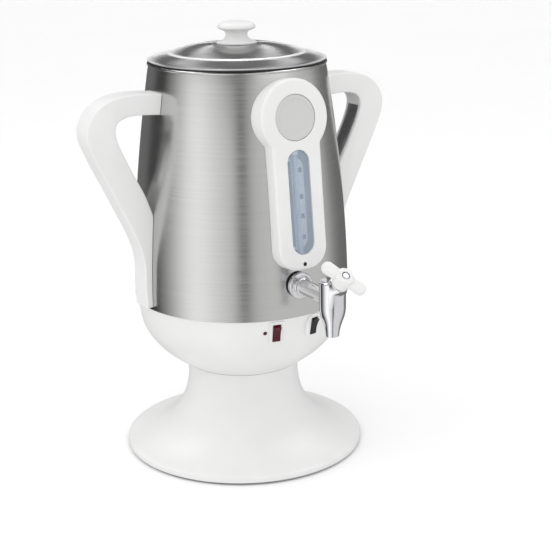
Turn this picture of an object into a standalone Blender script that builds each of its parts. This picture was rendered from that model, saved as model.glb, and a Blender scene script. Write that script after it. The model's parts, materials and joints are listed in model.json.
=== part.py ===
"""Electric samovar: a steel vessel on a white pedestal, with a gauge panel, a tap and two handles.

Metres, +Z up. The origin is the centre of the bottom plate's underside, on the body's axis.
The tap points along -Y and the handles lie along -X and +X.
"""

import math

import bmesh
import bpy
from mathutils import Matrix, Vector
from mathutils.geometry import interpolate_bezier

# Shared clearances and mesh fineness
GAP = 0.0003
OVERRUN = 0.004
MERGE = 0.00001
BODY_SIDES = 36
RING_SIDES = 20
SMALL_SIDES = 12

# Foot
FOOT_RADIUS = 0.115
FOOT_RIM_HEIGHT = 0.0055
FOOT_RIM_ROUND = 0.003
FOOT_WALL = 0.0028
WAIST_RADIUS = 0.053
WAIST_HEIGHT = 0.0745
NECK_HEIGHT = 0.0070
NECK_FLARE = 0.0015
SEAM_HEIGHT = WAIST_HEIGHT + NECK_HEIGHT
SEAM_RADIUS = WAIST_RADIUS + NECK_FLARE
FLARE_HANDLE_SHARES = ((0.0, 0.62), (0.17, 0.12))
PLATE_THICKNESS = 0.002
BOSS_RADIUS = 0.0045
BOSS_INSET = 0.035
BOSS_CIRCLE = FOOT_RADIUS - BOSS_INSET
BOSS_COUNT = 3
PAD_INSET = 0.015
PAD_WIDTH = 0.010
PAD_OUTER_RADIUS = FOOT_RADIUS - PAD_INSET
PAD_INNER_RADIUS = PAD_OUTER_RADIUS - PAD_WIDTH
PAD_HEIGHT = 0.0025

# Widths and heights that stack up on the foot
VESSEL_RADIUS = 0.1017
BOWL_DEPTH = 0.0540
BOWL_LIP_HEIGHT = 0.0150
VESSEL_SKIRT_HEIGHT = 0.0070
HANDLE_FOOT_RISE = 0.0025
HANDLE_HEIGHT = 0.1965
HANDLE_RIM_DROP = 0.0190
BOWL_SIDE_HEIGHT = SEAM_HEIGHT + BOWL_DEPTH
VESSEL_BOTTOM = BOWL_SIDE_HEIGHT + BOWL_LIP_HEIGHT
VESSEL_CURVE_START = VESSEL_BOTTOM + VESSEL_SKIRT_HEIGHT
HANDLE_FOOT_HEIGHT = VESSEL_BOTTOM + HANDLE_FOOT_RISE
VESSEL_RIM_HEIGHT = HANDLE_FOOT_HEIGHT + HANDLE_HEIGHT + HANDLE_RIM_DROP

# Bowl
BOWL_WALL = 0.0026
BOWL_SIDE_INSET = 0.0037
BOWL_TOP_INSET = 0.0007
BOWL_SIDE_RADIUS = VESSEL_RADIUS - BOWL_SIDE_INSET
BOWL_TOP_RADIUS = VESSEL_RADIUS - BOWL_TOP_INSET
BOWL_HANDLE_SHARES = ((0.36, 0.185), (0.935, 0.48))
SPIGOT_HEIGHT = 0.0075

# Vessel
VESSEL_DRAW_IN = 0.0205
VESSEL_RIM_RADIUS = VESSEL_RADIUS - VESSEL_DRAW_IN
VESSEL_CURVE_POWER = 1.68
VESSEL_WALL = 0.0008
VESSEL_FLOOR_RISE = 0.009
VESSEL_RIM_ROLL = 0.0012
GASKET_WIDTH = 0.0024

# Lid
LID_OVERHANG = 0.0006
LID_WALL = 0.0008
LID_SHOULDER_WIDTH = 0.0193
LID_LIP_HEIGHT = 0.0008
LID_SHOULDER_RISE = 0.0049
LID_SHOULDER_SHARES = ((0.34, 0.67), (0.83, 0.34))
LID_STEP_WIDTH = 0.0015
LID_STEP_RISE = 0.0012
LID_RADIUS = VESSEL_RIM_RADIUS + LID_OVERHANG
LID_STEP_RADIUS = LID_RADIUS - LID_SHOULDER_WIDTH
LID_DOME_RADIUS = LID_STEP_RADIUS - LID_STEP_WIDTH
LID_DOME_RISE = 0.0067
LID_DOME_SHARES = ((0.405, 1.0), (0.738, 0.552))
LID_CROWN_RADIUS = 0.019
LID_SEAL_HEIGHT = 0.0011
LID_SEAL_WIDTH = 0.0020
LID_SKIRT_DEPTH = 0.011
LID_SKIRT_CLEARANCE = 0.0010

# Knob
KNOB_BASE_RADIUS = 0.0182
KNOB_BASE_EDGE = 0.0012
KNOB_NECK_RADIUS = 0.0100
KNOB_NECK_HEIGHT = 0.0081
KNOB_CAP_RADIUS = 0.0175
KNOB_CAP_EDGE_HEIGHT = 0.0141
KNOB_HEIGHT = 0.0201
KNOB_CAP_UNDERCUT = 0.0028
KNOB_HOLE_DEPTH = 0.012

# Screws, nuts and washers
SCREW_RADIUS = 0.0019
SCREW_HEAD_RADIUS = 0.0037
SCREW_HEAD_HEIGHT = 0.0022
SCREW_BITE = 0.008

# Central stud under the vessel
STUD_RADIUS = 0.003
STUD_TAIL = 0.0115
STUD_NUT_RADIUS = 0.0058
STUD_NUT_HEIGHT = 0.005
STUD_FLANGE_RADIUS = 0.012
STUD_FLANGE_THICKNESS = 0.0015

# Heating
HEAT_PLATE_RADIUS = 0.078
HEAT_PLATE_THICKNESS = 0.003
ELEMENT_RADIUS = 0.055
ELEMENT_TUBE = 0.0036
ELEMENT_SWEEP = 300.0
ELEMENT_DROP = 0.011
TERMINAL_RADIUS = 0.0014
TERMINAL_LENGTH = 0.008
SENSOR_RADIUS = 0.0095
SENSOR_HEIGHT = 0.0075
SENSOR_OFFSET = 0.026
SENSOR_TAB_WIDTH = 0.0048
SENSOR_TAB_LENGTH = 0.007
SENSOR_TAB_THICKNESS = 0.0008
BRIDGE_WIDTH = 0.014
BRIDGE_THICKNESS = 0.0012
BRIDGE_OVERLAP = 0.004

# Terminal block on the bowl's floor
BLOCK_LENGTH = 0.030
BLOCK_WIDTH = 0.015
BLOCK_HEIGHT = 0.013
BLOCK_PLACE = 0.0300
BLOCK_HOLE_RADIUS = 0.0022
BLOCK_POLES = 3

# Inner wires
WIRE_RADIUS = 0.0013
WIRE_STAND_OFF = 0.0010
WIRE_STEPS = 3
WIRE_INSET = 0.003
WIRE_LEAD = 0.008
LIVE_SWEEP = ((0.042, 205, 0.112), (0.050, 255, 0.104), (0.056, 305, 0.108), (0.062, 338, 0.126))
BLOCK_DROP = ((0.058, 0.106), (0.048, 0.0935))

# Rocker switches
SWITCH_RISE = 0.0025
SWITCH_HEIGHT = BOWL_SIDE_HEIGHT + SWITCH_RISE
SWITCH_LEAN = 11.0
POWER_AZIMUTH = -12.2
WARM_AZIMUTH = 10.6
ROCKER_HALF_WIDTH = 0.0036
ROCKER_HALF_LENGTH = 0.0076
ROCKER_PROUD = 0.0020
ROCKER_VALLEY = 0.0009
ROCKER_BELLY = 0.0060
ROCKER_TILT = 8.0
ROCKER_PIVOT_DEPTH = 0.0026
ROCKER_PIN_RADIUS = 0.0010
ROCKER_END_CLEARANCE = 0.0010
SWITCH_WALL = 0.0013
SWITCH_DEPTH = 0.017
SWITCH_FLANGE = 0.0016
POWER_FLANGE_MARGIN = 0.0012
WARM_FLANGE_HALF_WIDTH = 0.0098
WARM_FLANGE_HALF_LENGTH = 0.0120
SWITCH_FLANGE_ROUND = 0.0010
BLADE_WIDTH = 0.0048
BLADE_THICKNESS = 0.0008
BLADE_LENGTH = 0.008
BLADE_SPREAD_SHARE = 0.55
LAMP_RADIUS = 0.0016
LAMP_AZIMUTH = -18.2
LAMP_PROUD = 0.0006
LAMP_LENGTH = 0.007

# Appliance inlet at the back
INLET_DROP = 0.0110
INLET_HEIGHT = BOWL_SIDE_HEIGHT - INLET_DROP
INLET_LEAN = 9.0
INLET_HALF_WIDTH = 0.0137
INLET_HALF_HEIGHT = 0.0097
INLET_WALL = 0.0016
INLET_FLANGE_MARGIN = 0.0026
INLET_FLANGE = 0.0020
INLET_DEPTH = 0.020
INLET_SOCKET_DEPTH = 0.0155
INLET_CORNER = 0.0015
INLET_SEAT = 0.0020
PIN_HALF_WIDTH = 0.0020
PIN_HALF_THICKNESS = 0.0010
PIN_SPACING = 0.007
PIN_RISE = 0.002
PIN_TAIL = 0.009
PIN_SETBACK = 0.002

# Gauge panel
PANEL_RISE = 0.0455
PANEL_RIM_DROP = 0.0055
PANEL_LOW = VESSEL_BOTTOM + PANEL_RISE
PANEL_HIGH = VESSEL_RIM_HEIGHT - PANEL_RIM_DROP
PANEL_PROUD = 0.0130
PANEL_HALF_WIDTH = 0.0245
PANEL_HEAD_RADIUS = 0.0338
PANEL_CORNER = 0.0195
PANEL_NECK_FILLET = 0.006
PANEL_EDGE = 0.0030
PANEL_WALL = 0.0020
PANEL_HEAD_WALL = 0.0045
PANEL_BACK_DEPTH = 0.012
BADGE_RADIUS = 0.0200
BADGE_DEPTH = 0.0018
BADGE_SINK = 0.0003
WINDOW_HALF_WIDTH = 0.0110
WINDOW_LOW = 0.0140
WINDOW_HEAD_DROP = 0.0282
WINDOW_FLANGE = 0.0016
WINDOW_FLANGE_THICKNESS = 0.0008
WINDOW_FLANGE_END = 0.0120
WINDOW_KEY = 0.0001
WINDOW_SINK = 0.0003
TUBE_RADIUS = 0.0025
TUBE_BORE = 0.0017
TUBE_LOW = 0.0100
TUBE_DEPTH = 0.0068
PORT_RADIUS = 0.0026
PORT_BORE = 0.0014
PORT_SOCKET_WALL = 0.0007
PORT_SOCKET_DEPTH = 0.004
PORT_HEIGHT = 0.0075
PORT_FLANGE_RADIUS = 0.0045
PORT_FLANGE_THICKNESS = 0.0012
FLANGE_STAND_OFF = 0.0005
PORT_INSIDE = 0.009
PORT_NUT_RADIUS = 0.0055
PORT_NUT_HEIGHT = 0.004
WALL_STAND_OFF = 0.0012
SCALE_HALF_WIDTH = 0.0100
SCALE_THICKNESS = 0.0006
SCALE_END = 0.003
PANEL_BOSS_RADIUS = 0.0045
PANEL_BOSS_HEIGHT = 0.0035
PANEL_DOT_HEIGHT = 0.0052
PANEL_DOT_RADIUS = 0.0016
PANEL_DOT_LENGTH = 0.0017
PANEL_DOT_SINK = 0.0002

# Tap
TAP_RISE = 0.0305
TAP_HEIGHT = VESSEL_BOTTOM + TAP_RISE
TAP_REACH = 0.0540
TAP_FLANGE_RADIUS = 0.0120
TAP_FLANGE_THICKNESS = 0.0040
TAP_COLLAR_RADIUS = 0.0088
TAP_COLLAR_LENGTH = 0.0045
TAP_BARREL_RADIUS = 0.0067
TAP_SHANK_RADIUS = 0.0062
TAP_SHANK_LENGTH = 0.0135
TAP_BORE = 0.0036
TAP_BODY_RADIUS = 0.0118
TAP_BODY_TOP = 0.0180
TAP_BODY_BELLY = 0.0055
TAP_SHOULDER = 0.0030
SPOUT_RADIUS = 0.0060
SPOUT_LENGTH = 0.0325
SPOUT_BORE = 0.0042
SPOUT_LIP = 0.0008
BONNET_SLOPE = 45.0
BONNET_CENTRE_RISE = 0.0065
BONNET_RADIUS = 0.0086
BONNET_LENGTH = 0.0170
BONNET_BORE = 0.0055
PLUG_CLEARANCE = 0.0003
PLUG_LENGTH = 0.012
PLUG_NOTCH = 0.0045
STEM_RADIUS = 0.0028
STEM_LENGTH = 0.0085
TAP_GASKET_THICKNESS = 0.0012
TAP_NUT_RADIUS = 0.0115
TAP_NUT_HEIGHT = 0.006
TAP_NUT_STAND_OFF = 0.0022

# Tap lever
LEVER_HUB_RADIUS = 0.0082
LEVER_HUB_LENGTH = 0.0120
LEVER_HUB_ROUND = 0.0020
LEVER_REACH = 0.0215
LEVER_WING_HALF_WIDTH = 0.0050
LEVER_WING_TIP_HALF_WIDTH = 0.0062
LEVER_WING_THICKNESS = 0.0056
LEVER_WING_RISE = 0.0040
LEVER_WING_ROUND = 0.0018
LEVER_TURN = -50.0
LEVER_SCREW_HEAD_RADIUS = 0.0036
LEVER_SCREW_RADIUS = 0.0012
LEVER_SCREW_BITE = 0.006

# Handles
HANDLE_ROOT_INSET = 0.0237
HANDLE_ROOT_RADIUS = VESSEL_RADIUS - HANDLE_ROOT_INSET
HANDLE_REACH = 0.079
HANDLE_WIDTH = 0.0240
HANDLE_ROUND = 0.0042
HANDLE_CURVE_STEPS = 2
HANDLE_OUTER_SHARES = (
    (0.00, 0.990), (0.34, 1.000), (0.62, 0.993), (0.82, 0.960), (0.95, 0.905), (1.00, 0.838),
    (0.94, 0.748), (0.70, 0.545), (0.46, 0.342), (0.375, 0.225), (0.372, 0.110), (0.365, 0.000),
)
HANDLE_INNER_SHARES = (
    (0.17, 0.000), (0.19, 0.340), (0.305, 0.515), (0.47, 0.650), (0.61, 0.770), (0.655, 0.840),
    (0.61, 0.885), (0.45, 0.905), (0.20, 0.901), (0.00, 0.892),
)
STRAP_WIDTH = 0.0170
STRAP_THICKNESS = 0.0016
STRAP_SINK = 0.0002
STRAP_START_SHARE = 0.27
STRAP_END_SHARE = 0.535
HANDLE_SCREW_HIGH_SHARE = 0.948
HANDLE_SCREW_LOW_SHARE = 0.17
HANDLE_SCREW_BITE = 0.0045

# Colours: red, green, blue, roughness, metallic
WHITE = (0.90, 0.90, 0.89, 0.25, 0.0)
STEEL = (0.60, 0.60, 0.60, 0.30, 1.0)
CHROME = (0.80, 0.80, 0.82, 0.08, 1.0)
DARK = (0.03, 0.03, 0.03, 0.50, 0.0)
RED = (0.70, 0.04, 0.05, 0.30, 0.0)
CLEAR_BLUE = (0.62, 0.76, 0.90, 0.10, 0.0)
SCALE_WHITE = (0.80, 0.86, 0.92, 0.40, 0.0)
BRASS = (0.72, 0.56, 0.28, 0.35, 1.0)
ALUMINIUM = (0.72, 0.72, 0.74, 0.45, 1.0)
ZINC = (0.62, 0.64, 0.66, 0.40, 1.0)
SILICONE = (0.10, 0.10, 0.11, 0.60, 0.0)
BROWN = (0.25, 0.10, 0.04, 0.50, 0.0)
BLUE = (0.05, 0.16, 0.50, 0.50, 0.0)
GREEN = (0.30, 0.50, 0.06, 0.50, 0.0)
CREAM = (0.78, 0.74, 0.62, 0.50, 0.0)

X_AXIS = Vector((1, 0, 0))
Z_AXIS = Vector((0, 0, 1))


# Scene and materials
def clear_scene():
    """Empties the file of objects and makes the two collections."""
    for old in list(bpy.data.objects):
        bpy.data.objects.remove(old)
    for name in ("samovar", "samovar_cutters"):
        if name not in bpy.data.collections:
            bpy.data.collections.new(name)
        collection = bpy.data.collections[name]
        if name not in bpy.context.scene.collection.children:
            bpy.context.scene.collection.children.link(collection)


def paint(item, colour):
    """Gives an object its own Principled material."""
    red, green, blue, roughness, metallic = colour
    material = bpy.data.materials.new(item.name + "_material")
    material.use_nodes = True
    shader = material.node_tree.nodes["Principled BSDF"]
    shader.inputs["Base Color"].default_value = (red, green, blue, 1)
    shader.inputs["Roughness"].default_value = roughness
    shader.inputs["Metallic"].default_value = metallic
    item.data.materials.clear()
    item.data.materials.append(material)
    return item


def add(name, data, place=None, cutter=False):
    """Links new data as an object, in the parts' collection or in the cutters'."""
    item = bpy.data.objects.new(name, data)
    bpy.data.collections["samovar_cutters" if cutter else "samovar"].objects.link(item)
    if place is not None:
        item.matrix_world = place
    if cutter:
        item.hide_render = True
        item.display_type = "WIRE"
    return item


# Points and places
def arc(centre, radius, start, end, steps):
    """Points of a circular arc, angles in degrees, both ends included."""
    points = []
    for step in range(steps + 1):
        angle = math.radians(start + (end - start) * step / steps)
        points.append((centre[0] + radius * math.cos(angle), centre[1] + radius * math.sin(angle)))
    return points


def bezier(start, start_handle, end_handle, end, steps):
    """Points of a cubic curve, both ends included."""
    corners = [Vector((x, y, 0)) for x, y in (start, start_handle, end_handle, end)]
    return [(point.x, point.y) for point in interpolate_bezier(*corners, steps + 1)]


def through(points, steps):
    """Points of a smooth curve through the given points, which may be flat or in space."""
    knots = [Vector(point) for point in points]
    knots = [2 * knots[0] - knots[1]] + knots + [2 * knots[-1] - knots[-2]]
    result = []
    for a, b, c, d in zip(knots, knots[1:], knots[2:], knots[3:]):
        for step in range(steps):
            t = step / steps
            result.append(
                (2 * b + (c - a) * t + (2 * a - 5 * b + 4 * c - d) * t**2 + (3 * b - a - 3 * c + d) * t**3) / 2
            )
    return result + [knots[-2]]


def rounded_rectangle(half_width, half_height, radius, steps):
    """Points of a rectangle with round corners, about its centre."""
    x, y = half_width - radius, half_height - radius
    points = []
    for index, (sign_x, sign_y) in enumerate(((1, 1), (-1, 1), (-1, -1), (1, -1))):
        points += arc((sign_x * x, sign_y * y), radius, 90 * index, 90 * index + 90, steps)
    return points


def place_at(origin, x_axis=X_AXIS, z_axis=Z_AXIS):
    """The matrix of a frame with the given origin, X direction and Z direction."""
    z = Vector(z_axis).normalized()
    y = z.cross(Vector(x_axis)).normalized()
    x = y.cross(z)
    turn = Matrix((x, y, z)).transposed().to_4x4()
    return Matrix.Translation(Vector(origin)) @ turn


def direction(azimuth, lean=0.0):
    """A unit vector, azimuth 0 along -Y and positive towards +X; lean tips it downwards."""
    a, b = math.radians(azimuth), math.radians(lean)
    return Vector((math.sin(a) * math.cos(b), -math.cos(a) * math.cos(b), -math.sin(b)))


def on_bowl(azimuth, height, lean):
    """A frame on the bowl's side: Z out of the surface, X to the right as one faces it, Y up."""
    out = direction(azimuth, lean)
    across = direction(azimuth + 90)
    radius = bowl_radius(height)
    origin = direction(azimuth) * radius + Vector((0, 0, height))
    return place_at(origin, across, out)


# Shapes
def turned(name, profile, colour, sides=RING_SIDES, place=None, closed=False, cutter=False):
    """A turned solid. The profile runs down its outer side, from top to bottom."""
    mesh = bpy.data.meshes.new(name)
    count = len(profile)
    edges = [(index, index + 1) for index in range(count - 1)]
    if closed:
        edges.append((count - 1, 0))
    mesh.from_pydata([(r, 0, z) for r, z in profile], edges, [])
    item = add(name, mesh, place, cutter)
    screw = item.modifiers.new("turn", "SCREW")
    screw.angle = 2 * math.pi
    screw.steps = screw.render_steps = sides
    screw.use_merge_vertices = True
    screw.merge_threshold = MERGE
    screw.use_smooth_shade = True
    return item if cutter else paint(item, colour)


def rod(name, radius, low, high, colour, sides=SMALL_SIDES, place=None, cutter=False):
    """A plain round bar along its own Z, from low to high."""
    mesh = bpy.data.meshes.new(name)
    shape = bmesh.new()
    middle = Matrix.Translation((0, 0, (low + high) / 2))
    bmesh.ops.create_cone(
        shape, cap_ends=True, segments=sides, radius1=radius, radius2=radius, depth=high - low, matrix=middle
    )
    shape.to_mesh(mesh)
    shape.free()
    item = add(name, mesh, place, cutter)
    return item if cutter else paint(item, colour)


def box(name, low, high, colour, place=None, cutter=False):
    """A plain block between two corners of its own frame."""
    low, high = Vector(low), Vector(high)
    size = high - low
    mesh = bpy.data.meshes.new(name)
    shape = bmesh.new()
    bmesh.ops.create_cube(
        shape, size=1, matrix=Matrix.Translation((low + high) / 2) @ Matrix.Diagonal((*size, 1))
    )
    shape.to_mesh(mesh)
    shape.free()
    item = add(name, mesh, place, cutter)
    return item if cutter else paint(item, colour)


def settled_mesh(item):
    """The object's evaluated mesh as new data."""
    bpy.context.view_layer.update()
    graph = bpy.context.evaluated_depsgraph_get()
    return bpy.data.meshes.new_from_object(item.evaluated_get(graph), depsgraph=graph)


def plate(name, points, low, high, colour, place=None, rounding=0.0, cutter=False):
    """A flat outline thickened along its own Z from low to high, with its outer edges rounded."""
    curve = bpy.data.curves.new(name, "CURVE")
    curve.dimensions = "2D"
    curve.fill_mode = "BOTH"
    curve.extrude = (high - low) / 2 - rounding
    curve.bevel_depth = rounding
    curve.bevel_resolution = 1
    curve.offset = -rounding
    spline = curve.splines.new("POLY")
    spline.points.add(len(points) - 1)
    for knot, point in zip(spline.points, points):
        knot.co = (point[0], point[1], 0, 1)
    spline.use_cyclic_u = True
    flat = bpy.data.objects.new(name + "_outline", curve)
    bpy.context.scene.collection.objects.link(flat)
    mesh = settled_mesh(flat)
    bpy.data.objects.remove(flat)
    shape = bmesh.new()
    shape.from_mesh(mesh)
    bmesh.ops.remove_doubles(shape, verts=shape.verts, dist=MERGE)
    bmesh.ops.dissolve_degenerate(shape, edges=shape.edges, dist=MERGE)
    bmesh.ops.translate(shape, verts=shape.verts, vec=(0, 0, (low + high) / 2))
    bmesh.ops.recalc_face_normals(shape, faces=shape.faces)
    shape.to_mesh(mesh)
    shape.free()
    mesh.materials.clear()
    item = add(name, mesh, place, cutter)
    return item if cutter else paint(item, colour)


def wire(name, points, radius, colour, resolution=2):
    """A round tube along points in space, with filled ends."""
    curve = bpy.data.curves.new(name, "CURVE")
    curve.dimensions = "3D"
    curve.bevel_depth = radius
    curve.bevel_resolution = resolution
    curve.use_fill_caps = True
    spline = curve.splines.new("POLY")
    spline.points.add(len(points) - 1)
    for knot, point in zip(spline.points, points):
        knot.co = (*point, 1)
    return paint(add(name, curve), colour)


def meshed(item):
    """Turns a tube into a mesh object with welded ends, so that it can be cut or copied."""
    mesh = settled_mesh(item)
    name, place, material = item.name, item.matrix_world.copy(), item.active_material
    bpy.data.objects.remove(item)
    shape = bmesh.new()
    shape.from_mesh(mesh)
    bmesh.ops.remove_doubles(shape, verts=shape.verts, dist=MERGE)
    shape.to_mesh(mesh)
    shape.free()
    mesh.materials.clear()
    mesh.materials.append(material)
    return add(name, mesh, place)


def grouped(name, source, places):
    """One cutter with a copy of the source at each place."""
    mesh = settled_mesh(source)
    bpy.data.objects.remove(source)
    joined = bmesh.new()
    for place in places:
        copy = mesh.copy()
        copy.transform(place)
        joined.from_mesh(copy)
        bpy.data.meshes.remove(copy)
    joined.to_mesh(mesh)
    joined.free()
    return add(name, mesh, None, True)


def repeated(names, source, places):
    """An object at each place, all with the source's mesh."""
    mesh = settled_mesh(source)
    bpy.data.objects.remove(source)
    return [add(name, mesh, place) for name, place in zip(names, places)]


def combine(item, other, operation="DIFFERENCE"):
    """Cuts or joins an object with another, which stays in the cutters' collection."""
    step = item.modifiers.new(other.name, "BOOLEAN")
    step.operation = operation
    step.object = other
    step.solver = "EXACT"
    return item


def join(item, other):
    """Adds the other object's solid to the item; the other one becomes a guide."""
    bpy.data.collections["samovar"].objects.unlink(other)
    bpy.data.collections["samovar_cutters"].objects.link(other)
    other.hide_render = True
    other.display_type = "WIRE"
    return combine(item, other, "UNION")


def thicken(item, wall):
    """Gives an open surface its wall, on the inner side."""
    solid = item.modifiers.new("wall", "SOLIDIFY")
    solid.thickness = wall
    solid.offset = -1
    solid.use_even_offset = True
    return item


def screw_profile(length, head_radius=SCREW_HEAD_RADIUS, head_height=SCREW_HEAD_HEIGHT, radius=SCREW_RADIUS):
    """A pan-head screw along its own Z: the head on top of zero, the shank below it."""
    return [
        (0, head_height), (head_radius * 0.7, head_height), (head_radius, head_height * 0.5),
        (head_radius, 0),
        (radius, 0), (radius, -length), (0, -length),
    ]


def ring_profile(inner, outer, low, high):
    """The section of a flat ring."""
    return [(inner, high), (outer, high), (outer, low), (inner, low)]


def around(count, radius, height, start=0.0):
    """Places on a circle about the body's axis."""
    return [
        Matrix.Translation(direction(start + 360 * index / count) * radius + Vector((0, 0, height)))
        for index in range(count)
    ]


# The body's outlines
def vessel_radius(height):
    """The vessel's outer radius at a height: straight below, then drawn in along a power curve."""
    share = (height - VESSEL_CURVE_START) / (VESSEL_RIM_HEIGHT - VESSEL_CURVE_START)
    return VESSEL_RADIUS - (VESSEL_RADIUS - VESSEL_RIM_RADIUS) * max(share, 0.0) ** VESSEL_CURVE_POWER


def vessel_side(steps, grow=0.0, top=VESSEL_RIM_HEIGHT, bottom=VESSEL_BOTTOM):
    """Points down the vessel's side, moved outwards by grow."""
    heights = [top + (VESSEL_CURVE_START - top) * step / steps for step in range(steps + 1)] + [bottom]
    return [(vessel_radius(height) + grow, height) for height in heights]


def bowl_curve(steps=5):
    """Points down the bowl's round, from its side to the seam with the foot."""
    width, height = BOWL_SIDE_RADIUS - SEAM_RADIUS, BOWL_SIDE_HEIGHT - SEAM_HEIGHT
    (low_x, low_z), (high_x, high_z) = BOWL_HANDLE_SHARES
    bottom = SEAM_HEIGHT + GAP
    return bezier(
        (BOWL_SIDE_RADIUS, BOWL_SIDE_HEIGHT),
        (SEAM_RADIUS + high_x * width, SEAM_HEIGHT + high_z * height),
        (SEAM_RADIUS + low_x * width, SEAM_HEIGHT + low_z * height),
        (SEAM_RADIUS, bottom),
        steps,
    )


def bowl_side(steps=5):
    """Points down the bowl's whole outer side."""
    return [(BOWL_TOP_RADIUS, VESSEL_BOTTOM - GAP)] + bowl_curve(steps)


def bowl_radius(height):
    """The bowl's outer radius at a height, read off its side."""
    side = bowl_side(24)
    for (r0, z0), (r1, z1) in zip(side, side[1:]):
        if z1 <= height <= z0:
            return r1 + (r0 - r1) * (height - z1) / (z0 - z1)
    return SEAM_RADIUS


def foot_side(steps=5):
    """Points down the foot's outer side, from the seam to the rim's lower edge."""
    width, height = FOOT_RADIUS - WAIST_RADIUS, WAIST_HEIGHT - FOOT_RIM_HEIGHT
    (high_x, high_z), (low_x, low_z) = FLARE_HANDLE_SHARES
    flare = bezier(
        (WAIST_RADIUS, WAIST_HEIGHT),
        (WAIST_RADIUS + high_x * width, FOOT_RIM_HEIGHT + high_z * height),
        (WAIST_RADIUS + low_x * width, FOOT_RIM_HEIGHT + low_z * height),
        (FOOT_RADIUS - FOOT_RIM_ROUND, FOOT_RIM_HEIGHT),
        steps,
    )
    rim = arc((FOOT_RADIUS - FOOT_RIM_ROUND, FOOT_RIM_HEIGHT - FOOT_RIM_ROUND), FOOT_RIM_ROUND, 90, 0, 2)
    return [(SEAM_RADIUS, SEAM_HEIGHT)] + flare + rim[1:] + [(FOOT_RADIUS, 0)]


def vessel_former():
    """A solid as large as the vessel and the gap round it, for cutting what lies against it."""
    top = VESSEL_RIM_HEIGHT
    bottom = VESSEL_BOTTOM - OVERRUN
    profile = [(0, top)] + vessel_side(10, GAP, top, bottom) + [(0, bottom)]
    return turned("vessel_former", profile, None, BODY_SIDES, cutter=True)


def bowl_former():
    """A solid as large as the bowl and the gap round it, for cutting the switch surrounds."""
    side = [(r + GAP, z) for r, z in bowl_side(12)]
    profile = [(0, side[0][1])] + side + [(0, side[-1][1])]
    return turned("bowl_former", profile, None, BODY_SIDES, cutter=True)


# Foot
def make_foot():
    """The trumpet-shaped foot with its bosses, bottom plate, ring pad and screws."""
    top = [(STUD_RADIUS + GAP, SEAM_HEIGHT)]
    foot = turned("pedestal_foot", top + foot_side(), WHITE, BODY_SIDES)
    thicken(foot, FOOT_WALL)
    boss_low = PLATE_THICKNESS + GAP
    boss_high = foot_height_at(BOSS_CIRCLE + BOSS_RADIUS) - FOOT_WALL / 2
    bosses = around(BOSS_COUNT, BOSS_CIRCLE, 0, 60)
    for index, place in enumerate(bosses):
        join(foot, rod("foot_boss_%d" % index, BOSS_RADIUS, boss_low, boss_high, WHITE, SMALL_SIDES, place))
    pilot = rod("foot_pilot", SCREW_RADIUS + GAP, boss_low - OVERRUN, boss_low + SCREW_BITE + GAP, WHITE)
    combine(foot, grouped("foot_pilots", pilot, bosses))

    bottom = rod("bottom_plate", FOOT_RADIUS - FOOT_WALL - GAP, 0, PLATE_THICKNESS, DARK, BODY_SIDES)
    hole = rod("plate_hole", SCREW_RADIUS + GAP, -OVERRUN, OVERRUN, DARK)
    combine(bottom, grouped("plate_holes", hole, bosses))
    turned("rubber_ring_foot", ring_profile(PAD_INNER_RADIUS, PAD_OUTER_RADIUS, -PAD_HEIGHT, -GAP), SILICONE,
           BODY_SIDES, closed=True)

    flip = Matrix.Rotation(math.pi, 4, "X")
    screw = turned("plate_screw", screw_profile(SCREW_BITE, head_height=PAD_HEIGHT * 0.6), ZINC, SMALL_SIDES)
    names = ["plate_screw_%d" % (index + 1) for index in range(BOSS_COUNT)]
    repeated(names, screw, [place @ Matrix.Translation((0, 0, -GAP)) @ flip for place in bosses])


def foot_height_at(radius):
    """The height of the foot's outer side at a radius of its flare."""
    side = foot_side()
    for (r0, z0), (r1, z1) in zip(side, side[1:]):
        if r0 <= radius <= r1 and z0 > z1:
            return z0 + (z1 - z0) * (radius - r0) / (r1 - r0)
    return FOOT_RIM_HEIGHT



# Bowl
def make_bowl():
    """The bowl under the vessel, with its spigot and its openings."""
    shoulder = VESSEL_BOTTOM - GAP
    spigot_radius = VESSEL_RADIUS - VESSEL_WALL - GAP
    outline = [(spigot_radius, shoulder + SPIGOT_HEIGHT), (spigot_radius, shoulder)] + bowl_side()
    outline.append((STUD_RADIUS + GAP, SEAM_HEIGHT + GAP))
    bowl = turned("base_bowl", outline, WHITE, BODY_SIDES)
    thicken(bowl, BOWL_WALL)
    half_width, half_length = rocker_opening()
    half_width += SWITCH_WALL + GAP
    half_length += SWITCH_WALL + GAP
    for name, azimuth in (("power_opening", POWER_AZIMUTH), ("warm_opening", WARM_AZIMUTH)):
        place = on_bowl(azimuth, SWITCH_HEIGHT, SWITCH_LEAN)
        combine(bowl, box(name, (-half_width, -half_length, -2 * OVERRUN),
                          (half_width, half_length, OVERRUN),
                          None, place, True))
    place = on_bowl(180, INLET_HEIGHT, INLET_LEAN)
    width, height = INLET_HALF_WIDTH + GAP, INLET_HALF_HEIGHT + GAP
    combine(bowl, box("inlet_opening", (-width, -height, -2 * OVERRUN), (width, height, OVERRUN), None,
                      place, True))
    lamp = on_bowl(LAMP_AZIMUTH, SWITCH_HEIGHT, SWITCH_LEAN)
    combine(bowl, rod("lamp_opening", LAMP_RADIUS + GAP, -2 * OVERRUN, OVERRUN, None, SMALL_SIDES, lamp,
                      True))


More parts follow.
